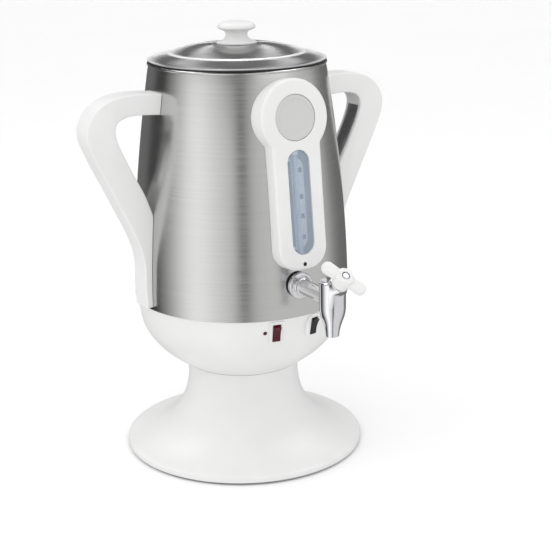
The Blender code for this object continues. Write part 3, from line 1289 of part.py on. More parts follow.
def make_tap():
    """The tap's body, its seals and lock nut, the plug on its stem, and the lever."""
    wall = wall_place(0, TAP_HEIGHT)
    seat = GAP + TAP_GASKET_THICKNESS + GAP
    flange_end = seat + TAP_FLANGE_THICKNESS
    collar_end = flange_end + TAP_COLLAR_LENGTH
    barrel = [
        (0, TAP_REACH), (TAP_BARREL_RADIUS, TAP_REACH), (TAP_BARREL_RADIUS, collar_end),
        (TAP_COLLAR_RADIUS, collar_end - (TAP_COLLAR_RADIUS - TAP_BARREL_RADIUS)),
        (TAP_COLLAR_RADIUS, flange_end),
        (TAP_FLANGE_RADIUS * 0.9, flange_end), (TAP_FLANGE_RADIUS, flange_end - TAP_FLANGE_THICKNESS / 3),
        (TAP_FLANGE_RADIUS, seat), (TAP_SHANK_RADIUS, seat), (TAP_SHANK_RADIUS, -TAP_SHANK_LENGTH),
        (0, -TAP_SHANK_LENGTH),
    ]
    body = turned("tap_body", barrel, CHROME, RING_SIDES, wall)

    centre = Matrix.Translation(tap_centre())
    taper = bezier((TAP_BODY_RADIUS, -TAP_BODY_BELLY), (TAP_BODY_RADIUS, -SPOUT_LENGTH * 0.5),
                   (SPOUT_RADIUS * 1.15, -SPOUT_LENGTH * 0.6), (SPOUT_RADIUS, -SPOUT_LENGTH), 4)
    upright = [(0, TAP_BODY_TOP)]
    upright += [(TAP_BODY_RADIUS - TAP_SHOULDER, TAP_BODY_TOP),
                (TAP_BODY_RADIUS, TAP_BODY_TOP - TAP_SHOULDER)]
    upright += taper + [(0, -SPOUT_LENGTH)]
    join(body, turned("tap_upright", upright, CHROME, RING_SIDES, centre))
    stem = stem_place()
    bonnet = [
        (0, BONNET_LENGTH), (BONNET_RADIUS * 0.85, BONNET_LENGTH), (BONNET_RADIUS, BONNET_LENGTH * 0.9),
        (BONNET_RADIUS, 0), (0, 0),
    ]
    join(body, turned("tap_bonnet", bonnet, CHROME, RING_SIDES, stem))
    combine(body, rod("tap_bore", TAP_BORE, -TAP_SHANK_LENGTH - OVERRUN, TAP_REACH, None, SMALL_SIDES, wall,
                      True))
    spout = [
        (0, 0), (SPOUT_BORE, 0), (SPOUT_BORE, -SPOUT_LENGTH + SPOUT_LIP * 2),
        (SPOUT_RADIUS - SPOUT_LIP, -SPOUT_LENGTH - SPOUT_LIP), (0, -SPOUT_LENGTH - SPOUT_LIP),
    ]
    combine(body, turned("spout_bore", spout, None, SMALL_SIDES, centre, cutter=True))
    plug_radius = BONNET_BORE - PLUG_CLEARANCE
    plug_low = -PLUG_LENGTH / 2
    plug_high = PLUG_LENGTH / 2
    combine(body, rod("plug_bore", BONNET_BORE, plug_low - PLUG_CLEARANCE, plug_high + PLUG_CLEARANCE, None,
                      SMALL_SIDES, stem, True))
    combine(body, rod("stem_bore", STEM_RADIUS + PLUG_CLEARANCE, 0, BONNET_LENGTH + OVERRUN, None,
                      SMALL_SIDES,
                      stem, True))

    stem_end = BONNET_LENGTH + STEM_LENGTH
    plug = turned("tap_plug", [
        (0, stem_end), (STEM_RADIUS, stem_end), (STEM_RADIUS, plug_high), (plug_radius, plug_high),
        (plug_radius, plug_low), (0, plug_low),
    ], BRASS, SMALL_SIDES, stem)
    turn = Matrix.Rotation(math.radians(LEVER_TURN), 4, "Z")
    notch_low = plug_low - OVERRUN
    combine(plug, box("plug_notch", (-PLUG_LENGTH, -PLUG_LENGTH, notch_low),
                      (PLUG_LENGTH, -plug_radius + PLUG_NOTCH, plug_high / 2), None, stem @ turn, True))
    combine(plug, rod("lever_screw_bore", LEVER_SCREW_RADIUS + GAP, stem_end - LEVER_SCREW_BITE,
                      stem_end + OVERRUN, None, SMALL_SIDES, stem, True))

    hole = TAP_SHANK_RADIUS + GAP
    turned("tap_gasket", ring_profile(hole, TAP_FLANGE_RADIUS * 0.95, GAP, GAP + TAP_GASKET_THICKNESS),
           SILICONE,
           RING_SIDES, wall, closed=True)
    hexagon_nut("tap_lock_nut", hole, TAP_NUT_RADIUS, TAP_NUT_HEIGHT, BRASS,
                wall @ Matrix.Translation((0, 0, -VESSEL_WALL - TAP_NUT_STAND_OFF - TAP_NUT_HEIGHT)))
    make_lever(stem @ turn, stem_end)


def make_lever(place, stem_end):
    """The two-winged lever on the stem, and the screw that holds it."""
    low = BONNET_LENGTH + GAP
    high = low + LEVER_HUB_LENGTH
    dish = LEVER_SCREW_HEAD_RADIUS + GAP
    sink = stem_end + GAP
    hub = [(0, high)]
    hub += arc((LEVER_HUB_RADIUS - LEVER_HUB_ROUND, high - LEVER_HUB_ROUND), LEVER_HUB_ROUND, 90, 0, 2)
    hub += [(LEVER_HUB_RADIUS, low), (0, low)]
    lever = turned("tap_lever", hub, WHITE, RING_SIDES, place)
    half, tip = LEVER_WING_HALF_WIDTH, LEVER_WING_TIP_HALF_WIDTH
    wing = arc((LEVER_REACH - tip, 0), tip, -80, 80, 4) + [(0, half)]
    wing += [(-x, y) for x, y in reversed(arc((LEVER_REACH - tip, 0), tip, -80, 80, 4))] + [(0, -half)]
    bottom = low + LEVER_WING_RISE
    join(lever, plate("lever_wings", wing, bottom, bottom + LEVER_WING_THICKNESS, WHITE, place,
                      LEVER_WING_ROUND))
    combine(lever, rod("lever_bore", STEM_RADIUS + GAP, low - OVERRUN, sink, None, SMALL_SIDES, place, True))
    combine(lever, rod("lever_dish", dish, high - SCREW_HEAD_HEIGHT, high + OVERRUN, None, SMALL_SIDES,
                       place, True))
    combine(lever, rod("lever_screw_way", LEVER_SCREW_RADIUS + GAP, low, high, None, SMALL_SIDES, place,
                       True))
    seat = high - SCREW_HEAD_HEIGHT + GAP
    turned("lever_screw", screw_profile(seat - stem_end + LEVER_SCREW_BITE - GAP, LEVER_SCREW_HEAD_RADIUS,
                                        SCREW_HEAD_HEIGHT - 2 * GAP, LEVER_SCREW_RADIUS), ZINC, SMALL_SIDES,
           place @ Matrix.Translation((0, 0, seat)))


# Handles
def handle_point(shares):
    """A point of the handle's side view: distance from the body's axis, and height."""
    across, up = shares
    return HANDLE_ROOT_RADIUS + across * HANDLE_REACH, handle_height(up)


def handle_outline():
    """The handle seen from the side: down its outer face, then up its inner face."""
    outer = through([handle_point(shares) for shares in HANDLE_OUTER_SHARES], HANDLE_CURVE_STEPS)
    inner = through([handle_point(shares) for shares in HANDLE_INNER_SHARES], HANDLE_CURVE_STEPS)
    return outer, inner


def ribbon(points, low, high, longer=0.0):
    """The outline of a strip beside a line of points, between two distances to its right."""
    first, last = (points[0] - points[1]).normalized(), (points[-1] - points[-2]).normalized()
    points = [points[0] + first * longer] + points[1:-1] + [points[-1] + last * longer]
    near, far = [], []
    for index, point in enumerate(points):
        before = points[max(index - 1, 0)]
        after = points[min(index + 1, len(points) - 1)]
        along = (after - before).normalized()
        right = Vector((along.y, -along.x))
        near.append(point + right * low)
        far.append(point + right * high)
    return near + list(reversed(far))


def make_handles(former):
    """Both handles with their steel straps, and the screws that hold them from inside the vessel."""
    outer, inner = handle_outline()
    outline = outer + inner
    first = round(STRAP_START_SHARE * len(inner))
    last = round(STRAP_END_SHARE * len(inner)) + 1
    strap_line = [Vector(point) for point in inner[first:last]]
    screws = []
    for name, azimuth in (("left", -90), ("right", 90)):
        out = direction(azimuth)
        place = place_at((0, 0, 0), out, out.cross(Z_AXIS))
        half = HANDLE_WIDTH / 2
        handle = plate(name + "_handle", outline, -half, half, WHITE, place, HANDLE_ROUND)
        combine(handle, former)
        slot = ribbon(strap_line, -OVERRUN, STRAP_THICKNESS + STRAP_SINK + GAP, GAP)
        strap_half = STRAP_WIDTH / 2
        combine(handle, plate(name + "_slot", slot, -strap_half - GAP, strap_half + GAP, None, place, 0.0,
                              True))
        strap = plate(name + "_handle_strap", ribbon(strap_line, STRAP_SINK, STRAP_SINK + STRAP_THICKNESS),
                      -strap_half, strap_half, STEEL, place)
        combine(strap, former)
        for share in (HANDLE_SCREW_HIGH_SHARE, HANDLE_SCREW_LOW_SHARE):
            spot = wall_place(azimuth, handle_height(share))
            combine(handle, rod("%s_pilot_%d" % (name, len(screws)), SCREW_RADIUS + GAP, -OVERRUN,
                                HANDLE_SCREW_BITE + GAP, None, SMALL_SIDES, spot, True))
            screws.append(spot)
    head_in = -VESSEL_WALL - WALL_STAND_OFF
    flip = Matrix.Rotation(math.pi, 4, "X")
    screw = turned("handle_screw", screw_profile(HANDLE_SCREW_BITE - head_in), ZINC, SMALL_SIDES)
    names = ["left_upper_screw", "left_lower_screw", "right_upper_screw", "right_lower_screw"]
    repeated(names, screw, [spot @ Matrix.Translation((0, 0, head_in)) @ flip for spot in screws])


def main():
    clear_scene()
    make_foot()
    make_bowl()
    make_vessel()
    make_lid()
    make_heating()
    make_terminal_block()
    around_bowl = bowl_former()
    make_switches(around_bowl)
    make_inlet(around_bowl)
    make_wires()
    around_vessel = vessel_former()
    make_panel(around_vessel)
    make_tap()
    make_handles(around_vessel)


main()
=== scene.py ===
import json
import math

import bmesh
import bpy
from bpy.props import FloatProperty, FloatVectorProperty, PointerProperty
from mathutils import Matrix, Vector


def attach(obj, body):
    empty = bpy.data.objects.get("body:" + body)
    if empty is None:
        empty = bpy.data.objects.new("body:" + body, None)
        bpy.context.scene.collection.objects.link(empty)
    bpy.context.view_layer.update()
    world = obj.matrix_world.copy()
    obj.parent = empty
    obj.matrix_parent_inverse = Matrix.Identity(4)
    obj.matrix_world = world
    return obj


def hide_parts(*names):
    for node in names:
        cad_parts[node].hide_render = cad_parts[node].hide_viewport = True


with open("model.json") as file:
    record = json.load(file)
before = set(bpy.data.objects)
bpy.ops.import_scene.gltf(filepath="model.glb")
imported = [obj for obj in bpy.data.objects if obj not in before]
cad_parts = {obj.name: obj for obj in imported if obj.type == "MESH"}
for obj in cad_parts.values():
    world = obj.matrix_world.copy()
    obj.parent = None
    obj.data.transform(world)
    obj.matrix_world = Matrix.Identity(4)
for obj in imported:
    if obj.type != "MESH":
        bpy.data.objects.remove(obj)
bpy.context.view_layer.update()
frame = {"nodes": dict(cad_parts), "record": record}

bl_info = {
    "name": "Samovar looks",
    "version": (1, 0, 0),
    "blender": (4, 5, 0),
    "location": "3D View > Sidebar > Samovar",
    "description": "Builds the fine pieces, materials and studio of an electric samovar",
    "category": "Add Mesh",
}

# General, all sizes in metres
GAP = 0.0003
OVERRUN = 0.004
MERGE = 0.000002
SHARP_ANGLE = math.radians(38)

# Sides of round pieces and steps along their curves
BODY_SIDES = 144
RING_SIDES = 96
ROUND_SIDES = 64
SMALL_SIDES = 32
VESSEL_STEPS = 36
CURVE_STEPS = 28
FORMER_STEPS = 24
END_STEPS = 20
KNOB_CAP_STEPS = 16
WING_STEPS = 14
BEND_STEPS = 12
PANEL_STEPS = 10
DIP_STEPS = 8
CORNER_STEPS = 6
ROUND_STEPS = 5
SLAB_STEPS = 4
EDGE_STEPS = 3
STRAP_STEPS = 2

# Foot
FOOT_RIM_ROUND = 0.003
FOOT_WALL = 0.0028
FLARE_HANDLE_SHARES = ((0.0, 0.62), (0.17, 0.12))
PLATE_THICKNESS = 0.002
PAD_OUTER_RADIUS = 0.100
PAD_INNER_RADIUS = 0.090
PAD_HEIGHT = 0.0025
PAD_ROUND = 0.0006

# Bowl
BOWL_WALL = 0.0026
BOWL_HANDLE_SHARES = ((0.935, 0.48), (0.36, 0.185))
SPIGOT_HEIGHT = 0.0075
STUD_RADIUS = 0.003

# Vessel
VESSEL_WALL = 0.0008
VESSEL_FLOOR_RISE = 0.009
VESSEL_RIM_ROLL = 0.0012

# Lid
LID_WALL = 0.0008
LID_LIP_HEIGHT = 0.0008
LID_SHOULDER_RISE = 0.0049
LID_SHOULDER_SHARES = ((0.34, 0.67), (0.83, 0.34))
LID_STEP_RISE = 0.0012
LID_DOME_SHARES = ((0.405, 1.0), (0.738, 0.552))
LID_SEAL_LOW = 0.0015
LID_SEAL_HEIGHT = 0.0011
LID_SEAL_INNER = 0.0797
LID_SEAL_OUTER = 0.0817
LID_EDGE_LOW = 0.0029
LID_SKIRT_OUTER = 0.0794
LID_SKIRT_INNER = 0.0786
LID_SKIRT_LOW = 0.3590
LID_HOLE = 0.0022

# Knob
KNOB_BASE_EDGE = 0.0012
KNOB_FLARE_RISE = 0.0018
KNOB_FLARE_SHARE = 0.8
KNOB_NECK_SHARE = 0.6
KNOB_NECK_HEIGHT = 0.0081
KNOB_CAP_EDGE_HEIGHT = 0.0141
KNOB_CAP_UNDERCUT = 0.0028
KNOB_CAP_DROP = 0.0012
KNOB_CAP_FLAT = 0.0105
KNOB_UNDER_RADIUS = 0.0163
KNOB_HOLLOW_RADIUS = 0.013
KNOB_HOLE_DEPTH = 0.012

# Switches and lamp
SWITCH_LEAN = math.radians(11)
ROCKER_HALF_WIDTH = 0.0036
ROCKER_HALF_LENGTH = 0.0076
ROCKER_PROUD = 0.0020
ROCKER_VALLEY = 0.0009
ROCKER_BELLY = 0.0060
ROCKER_BELLY_SHARE = 0.72
ROCKER_TILT = math.radians(8)
ROCKER_PIVOT_DEPTH = 0.0026
ROCKER_END_CLEARANCE = 0.0010
ROCKER_ROUND = 0.0005
SWITCH_WALL = 0.0013
SWITCH_DEPTH = 0.017
SWITCH_FLANGE = 0.0016
SWITCH_FLANGE_ROUND = 0.0008
POWER_FLANGE_MARGIN = 0.0012
POWER_CORNER_SHARE = 0.6
WARM_FLANGE_HALF_WIDTH = 0.0098
WARM_FLANGE_HALF_LENGTH = 0.0120
WARM_CORNER_SHARE = 0.92
LAMP_RADIUS = 0.0016
LAMP_DOME_RADIUS = 0.00256
LAMP_DOME_END = 52
LAMP_PROUD = 0.0006
LAMP_LENGTH = 0.007

# Inlet
INLET_LEAN = math.radians(9)
INLET_HALF_WIDTH = 0.0137
INLET_HALF_HEIGHT = 0.0097
INLET_WALL = 0.0016
INLET_FLANGE_MARGIN = 0.0026
INLET_FLANGE = 0.0020
INLET_DEPTH = 0.020
INLET_SOCKET_DEPTH = 0.0155
INLET_CORNER = 0.0015
INLET_SEAT = 0.0020
INLET_EDGE_ROUND = 0.0005

# Gauge panel
PANEL_CORNER = 0.0195
PANEL_NECK_FILLET = 0.006
PANEL_EDGE = 0.0030
PANEL_WALL = 0.0020
PANEL_HEAD_WALL = 0.0045
PANEL_BACK_DEPTH = 0.012
DISC_RADIUS = 0.0200
DISC_DEPTH = 0.0018
DISC_EDGE = 0.00072
DISC_SINK = 0.0003
DISC_DISH_RADII = (0.0148, 0.0164, 0.0168, 0.0180)
# Share of the white that the disc is darkened to: painted shade of its recess
DISC_PAINTED_SHADE = 0.74
WINDOW_LOW = 0.0140
WINDOW_HEAD_DROP = 0.0282
WINDOW_KEY = 0.0001
WINDOW_SINK = 0.0003
WINDOW_ROUND = 0.0004
TUBE_RADIUS = 0.0025
TUBE_BORE = 0.0017
TUBE_LOW = 0.0100
TUBE_DEPTH = 0.0068
PORT_SOCKET_DEPTH = 0.004
SCALE_HALF_WIDTH = 0.0100
SCALE_THICKNESS = 0.0006
SCALE_END = 0.003
LEVEL_MARK_SHARES = (0.13, 0.36, 0.57, 0.86)
LEVEL_MARK_NEAR = 0.0028
LEVEL_MARK_FAR = 0.0082
LEVEL_MARK_HEIGHT = 0.0042
LEVEL_MARK_THICKNESS = 0.0002
# Outer edge of a dark strip on the scale's left side: painted shade
SCALE_PAINTED_SHADE_FAR = 0.0084
PANEL_DOT_HEIGHT = 0.0052
PANEL_DOT_RADIUS = 0.0016
PANEL_DOT_LENGTH = 0.0017
PANEL_DOT_SINK = 0.0002

# Tap
TAP_SEAT = 0.0018
TAP_FLANGE_RADIUS = 0.0120
TAP_FLANGE_THICKNESS = 0.0040
TAP_FLANGE_SHARES = ((0.86, 1.0), (0.97, 1.0), (1.0, 0.85), (1.0, 0.6))
TAP_FILLET = 0.0004
TAP_COLLAR_RADIUS = 0.0088
TAP_COLLAR_LENGTH = 0.0045
TAP_COLLAR_SHARES = ((0.0, 0.6), (1.0, 0.4), (1.0, 1.0))
TAP_BARREL_RADIUS = 0.0067
TAP_SHANK_RADIUS = 0.0062
TAP_SHANK_LENGTH = 0.0135
TAP_BODY_RADIUS = 0.0118
TAP_BODY_TOP = 0.0180
TAP_BODY_BELLY = 0.0055
TAP_SHOULDER = 0.0030
SPOUT_RADIUS = 0.0060
SPOUT_LENGTH = 0.0325
SPOUT_HANDLES = ((0.0118, -0.01625), (0.0069, -0.0195))
SPOUT_BORE = 0.0042
SPOUT_LIP = 0.0008
BONNET_SLOPE = math.radians(45)
BONNET_CENTRE_RISE = 0.0065
BONNET_RADIUS = 0.0086
BONNET_LENGTH = 0.0170
BONNET_ROUND = 0.0013
BONNET_BORE = 0.0055
STEM_RADIUS = 0.0028
STEM_LENGTH = 0.0085
PLUG_CLEARANCE = 0.0003
PLUG_LENGTH = 0.012

# Lever
LEVER_HUB_RADIUS = 0.0082
LEVER_HUB_LENGTH = 0.0120
LEVER_HUB_ROUND = 0.0020
LEVER_REACH = 0.0215
LEVER_WING_HALF_WIDTH = 0.0050
LEVER_WING_TIP_HALF_WIDTH = 0.0062
LEVER_WING_TIP_END = 80
LEVER_WING_THICKNESS = 0.0056
LEVER_WING_RISE = 0.0040
LEVER_WING_ROUND = 0.0018
LEVER_TURN = math.radians(-50)
LEVER_SCREW_HEAD_RADIUS = 0.0036
SCREW_HEAD_HEIGHT = 0.0022

# Handles, their outlines as shares of reach and height
HANDLE_ROOT_RADIUS = 0.078
HANDLE_OUTER_SHARES = (
    (0.00, 0.990), (0.34, 1.000), (0.62, 0.993), (0.82, 0.960), (0.95, 0.905), (1.00, 0.838),
    (0.94, 0.748), (0.70, 0.545), (0.46, 0.342), (0.375, 0.225), (0.372, 0.110), (0.365, 0.000),
)
HANDLE_INNER_SHARES = (
    (0.17, 0.000), (0.19, 0.340), (0.305, 0.515), (0.47, 0.650), (0.61, 0.770), (0.655, 0.840),
    (0.61, 0.885), (0.45, 0.905), (0.20, 0.901), (0.00, 0.892),
)
STRAP_WIDTH = 0.0170
STRAP_THICKNESS = 0.0016
STRAP_SINK = 0.0002
STRAP_ROUND = 0.0003
STRAP_START_SHARE = 0.27
STRAP_END_SHARE = 0.535

# Finishes
BRUSH_TONES = (0.96, 1.03)
BRUSH_BLOTCH_SCALE = 14.0
BRUSH_BLOTCH_SPAN = (0.7, 1.3)
CROWN_LINES = 1600.0
CROWN_DRIFT = (11.0, 11.0, 1.0)
FINE_RELIEF = 0.0001
SOFT_RELIEF = 0.0002

# Camera and studio
CAMERA_AZIMUTH = math.radians(-30)
CAMERA_DISTANCE = 1.195
CAMERA_HEIGHT = 0.532
CAMERA_PITCH = math.radians(17.08)
CAMERA_ROLL = math.radians(-0.72)
CAMERA_YAW = math.radians(1.59)
CAMERA_CLIP_END = 50
SENSOR_WIDTH = 36
PICTURE_WIDTH = 552
FOCAL_PIXELS = 1300
FLOOR_RADIUS = 9.0
FLOOR_SIDES = 96
LIGHT_TARGET = Vector((0, 0, 0.15))
WHITE = (1.0, 1.0, 1.0, 1.0)

# Name, azimuth in degrees, height, distance, size and power of each light
LIGHTS = (("top_light", -60, 1.7, 0.7, 1.6, 5), ("side_light", -115, 0.9, 1.6, 1.0, 2))

# What the steel mirrors: azimuth in degrees from the camera, and brightness
REFLECTIONS = (
    (-180, 0.17), (-150, 0.17), (-132, 0.20), (-118, 0.06), (-103, 0.03), (-95, 0.22), (-85, 0.40),
    (-69, 0.86), (-57, 1.20), (-44, 1.26), (-28, 1.00), (-12, 0.82), (-6, 0.74), (0, 0.20), (4, 0.12),
    (8, 0.36), (13, 0.68), (30, 0.78), (98, 0.75), (108, 0.55), (118, 0.30), (134, 0.20), (156, 0.17),
    (180, 0.17),
)
BACKDROP = (
    (-180, 0.25), (-165, 0.20), (-148, 0.04), (-100, 0.06), (-60, 0.90), (-30, 0.70), (-6, 0.20),
    (6, 0.20), (30, 0.90), (60, 1.20), (100, 0.30), (148, 0.04), (165, 0.20), (180, 0.25),
)
SKYLIGHTS = (
    (-180, 0.0), (-166, 0.0), (-150, 8.0), (-100, 8.0), (-84, 0.0), (84, 0.0), (100, 8.0), (150, 8.0),
    (166, 0.0), (180, 0.0),
)
ZENITH = ((-180, 0.0), (180, 0.0))

# Where each higher layer fades in, as the sine of its elevation
LAYERS = (((0.06, 0.24), BACKDROP), ((0.70, 0.77), SKYLIGHTS), ((0.89, 0.94), ZENITH))

X_AXIS = Vector((1, 0, 0))
Z_AXIS = Vector((0, 0, 1))


def length(label, description, default):
    """A size in metres, as a property."""
    return FloatProperty(name=label, description=description, default=default, min=0.0, precision=5,
                         unit="LENGTH", subtype="DISTANCE")


def angle(label, description, degrees):
    """An angle, as a property."""
    return FloatProperty(name=label, description=description, default=math.radians(degrees),
                         unit="ROTATION", subtype="ANGLE")


def colour(label, description, default):
    """A linear colour, as a property."""
    return FloatVectorProperty(name=label, description=description, default=default, size=3, min=0.0,
                               max=1.0, subtype="COLOR")


class SamovarSizes(bpy.types.PropertyGroup):
    """The main sizes of the samovar."""

    foot_radius: length("Foot radius", "Radius of the foot's disc", 0.115)
    foot_rim_height: length("Foot rim height", "Height of the disc's rim", 0.0055)
    waist_radius: length("Waist radius", "Radius of the foot's waist", 0.053)
    waist_height: length("Waist height", "Height of the waist", 0.0745)
    seam_radius: length("Seam radius", "Radius where foot and bowl meet", 0.0545)
    seam_height: length("Seam height", "Height where foot and bowl meet", 0.0815)
    bowl_side_radius: length("Bowl side radius", "Radius where the bowl's round begins", 0.098)
    bowl_side_height: length("Bowl side height", "Height where the bowl's round begins", 0.1355)
    bowl_top_radius: length("Bowl top radius", "Radius of the bowl's upper edge", 0.101)
    vessel_radius: length("Vessel radius", "Radius of the steel vessel", 0.1017)
    vessel_bottom: length("Vessel bottom", "Height of the vessel's lower edge", 0.1505)
    vessel_curve_start: length("Vessel curve start", "Height where the side starts inwards", 0.1575)
    vessel_rim_radius: length("Vessel rim radius", "Radius of the mouth", 0.0812)
    vessel_rim_height: length("Vessel rim height", "Height of the mouth", 0.3685)
    vessel_curve_power: FloatProperty(name="Vessel curve power", description="How late the side draws in",
                                      default=1.68, min=1.0)
    lid_radius: length("Lid radius", "Radius of the lid's edge", 0.0818)
    lid_step_radius: length("Lid step radius", "Inner radius of the lid's shoulder", 0.0625)
    lid_dome_radius: length("Lid dome radius", "Radius of the dome", 0.061)
    lid_crown_radius: length("Lid crown radius", "Radius of the flat under the knob", 0.019)
    lid_dome_rise: length("Lid dome rise", "Height of the dome", 0.0067)
    knob_base_radius: length("Knob base radius", "Radius of the knob's flared base", 0.0182)
    knob_neck_radius: length("Knob neck radius", "Radius of the knob's neck", 0.010)
    knob_cap_radius: length("Knob cap radius", "Radius of the knob's cap", 0.0175)
    knob_height: length("Knob height", "Height of the knob", 0.0201)
    switch_height: length("Switch height", "Height of both switches", 0.138)
    power_azimuth: angle("Power switch azimuth", "Azimuth of the red rocker", -12.2)
    warm_azimuth: angle("Warm switch azimuth", "Azimuth of the dark rocker", 10.6)
    lamp_azimuth: angle("Lamp azimuth", "Azimuth of the small lamp", -18.2)
    inlet_height: length("Inlet height", "Height of the inlet at the back", 0.1245)
    panel_low: length("Panel low", "Height of the panel's lower end", 0.196)
    panel_high: length("Panel high", "Height of the panel's upper end", 0.363)
    panel_half_width: length("Panel half width", "Half width of the panel's column", 0.0245)
    panel_head_radius: length("Panel head radius", "Radius of the panel's round head", 0.0338)
    panel_proud: length("Panel proud", "How far the panel stands out", 0.013)
    window_half_width: length("Window half width", "Half width of the window", 0.011)
    tap_height: length("Tap height", "Height of the tap's barrel", 0.181)
    tap_reach: length("Tap reach", "From the wall to the tap's upright body", 0.054)
    handle_foot_height: length("Handle foot height", "Height of the handle's lower end", 0.153)
    handle_height: length("Handle height", "Height of the handle", 0.1965)
    handle_reach: length("Handle reach", "From the handle's root to its outermost point", 0.079)
    handle_width: length("Handle width", "Width of the handle", 0.024)
    handle_round: length("Handle round", "Radius of the handle's edges", 0.0042)


class SamovarLooks(bpy.types.PropertyGroup):
    """The colour of each finish and of the floor."""

    white_plastic: colour("White plastic", "Foot, bowl, knob, panel, lever, handles", (0.80, 0.80, 0.795))
    brushed_steel: colour("Brushed steel", "Vessel", (0.62, 0.62, 0.61))
    lid_steel: colour("Lid steel", "Lid", (0.55, 0.55, 0.55))
    strap_steel: colour("Strap steel", "Strips on the handles", (0.58, 0.58, 0.59))
    tap_chrome: colour("Tap chrome", "Tap", (0.80, 0.80, 0.82))
    dark_plastic: colour("Dark plastic", "Dark rocker, marks, inlet, plate", (0.025, 0.025, 0.027))
    red_plastic: colour("Red plastic", "Lit rocker and lamp", (0.06, 0.003, 0.010))
    clear_blue: colour("Clear blue", "Window", (0.62, 0.72, 0.86))
    clear_tube: colour("Clear tube", "Sight tube", (0.62, 0.70, 0.80))
    scale_white: colour("Scale white", "Scale plate", (0.80, 0.84, 0.90))
    brass: colour("Brass", "Ports and stud", (0.72, 0.56, 0.28))
    aluminium: colour("Aluminium", "Heat plate", (0.72, 0.72, 0.74))
    zinc_steel: colour("Zinc steel", "Screws and nuts", (0.62, 0.64, 0.66))
    silicone: colour("Silicone", "Seals and rubber ring", (0.03, 0.03, 0.033))
    brown_cover: colour("Brown cover", "Line wire", (0.25, 0.10, 0.04))
    blue_cover: colour("Blue cover", "Neutral wire", (0.05, 0.16, 0.50))
    green_cover: colour("Green cover", "Earth wire", (0.30, 0.50, 0.06))
    cream_plastic: colour("Cream plastic", "Terminal block", (0.78, 0.74, 0.62))
    floor: colour("Floor", "The pale floor", (0.97, 0.97, 0.97))


def sizes():
    """The sizes kept in the scene."""
    return bpy.context.scene.samovar_sizes


def looks():
    """The colours kept in the scene."""
    return bpy.context.scene.samovar_looks


# Points and places
def arc(centre, radius, start, end, steps):
    """Points along an arc, from one angle to another in degrees."""
    points = []
    for step in range(steps + 1):
        turn = math.radians(start + (end - start) * step / steps)
        points.append((centre[0] + radius * math.cos(turn), centre[1] + radius * math.sin(turn)))
    return points


def bezier(start, start_handle, end_handle, end, steps):
    """Points along a curve with two handles."""
    points = []
    for step in range(steps + 1):
        t = step / steps
        u = 1 - t
        points.append(tuple(
            u ** 3 * a + 3 * u * u * t * b + 3 * u * t * t * c + t ** 3 * d
            for a, b, c, d in zip(start, start_handle, end_handle, end)
        ))
    return points


def through(points, steps):
    """A smooth line through points, with steps between each two."""
    points = [Vector(point) for point in points]
    line = []
    for index in range(len(points) - 1):
        before = points[max(index - 1, 0)]
        start, end = points[index], points[index + 1]
        after = points[min(index + 2, len(points) - 1)]
        for step in range(steps):
            t = step / steps
            line.append(0.5 * (
                2 * start + (end - before) * t + (2 * before - 5 * start + 4 * end - after) * t * t
                + (3 * start - before - 3 * end + after) * t ** 3
            ))
    line.append(points[-1])
    return line


def shared(shares, low, high):
    """Points given as shares of the widths and heights between two corners."""
    return [(low[0] + (high[0] - low[0]) * across, low[1] + (high[1] - low[1]) * up)
            for across, up in shares]


def mirrored(points):
    """The points on the other side of the upright axis, in the other order."""
    return [(-x, y) for x, y in reversed(points)]


def beside(points, distance):
    """A line moved to its right, which is inwards for one that runs down a turned piece."""
    moved = []
    for index, point in enumerate(points):
        before, after = points[max(index - 1, 0)], points[min(index + 1, len(points) - 1)]
        along = (Vector(after) - Vector(before)).normalized()
        moved.append(Vector(point) + Vector((along.y, -along.x)) * distance)
    return moved


def ribbon(points, low, high, longer=0.0):
    """The outline of a strip beside a line of points, between two distances to its right."""
    first, last = (points[0] - points[1]).normalized(), (points[-1] - points[-2]).normalized()
    points = [points[0] + first * longer] + points[1:-1] + [points[-1] + last * longer]
    return beside(points, low) + beside(points, high)[::-1]


def rounded_rectangle(half_width, half_height, radius, steps=CORNER_STEPS):
    """The outline of a rectangle with round corners."""
    points = []
    for x, y, start in ((1, 1, 0), (-1, 1, 90), (-1, -1, 180), (1, -1, 270)):
        centre = (x * (half_width - radius), y * (half_height - radius))
        points += arc(centre, radius, start, start + 90, steps)
    return points


def stadium(half_width, low, high, grow=0.0):
    """An upright slot with round ends, moved outwards by grow."""
    upper = arc((0, high - half_width), half_width + grow, 0, 180, END_STEPS)
    return upper + arc((0, low + half_width), half_width + grow, 180, 360, END_STEPS)


def place_at(origin, x_axis, z_axis):
    """A frame with its origin, X and Z given."""
    z = z_axis.normalized()
    x = (x_axis - x_axis.project(z)).normalized()
    turn = Matrix((x, z.cross(x), z)).transposed().to_4x4()
    return Matrix.Translation(Vector(origin)) @ turn


def direction(azimuth, lean=0.0):
    """A unit vector, azimuth 0 along -Y and positive towards +X; lean tips it downwards."""
    level = math.cos(lean)
    return Vector((math.sin(azimuth) * level, -math.cos(azimuth) * level, -math.sin(lean)))


def on_side(radius_at, azimuth, height, lean=0.0):
    """A frame on the body's side: Z out of the surface, X to the right as one faces it, Y up."""
    return place_at(direction(azimuth) * radius_at(height) + Vector((0, 0, height)),
                    direction(azimuth + math.pi / 2), direction(azimuth, lean))


# Shapes
def turned(profile, sides=BODY_SIDES, place=None, closed=False):
    """A shape turned about Z from a line of points."""
    shape = bmesh.new()
    verts = [shape.verts.new((r, 0, z)) for r, z in profile]
    edges = [shape.edges.new(pair) for pair in zip(verts, verts[1:])]
    if closed:
        edges.append(shape.edges.new((verts[-1], verts[0])))
    bmesh.ops.spin(shape, geom=verts + edges, cent=(0, 0, 0), axis=(0, 0, 1), angle=2 * math.pi,
                   steps=sides, use_merge=True)
    return settled(shape, place)


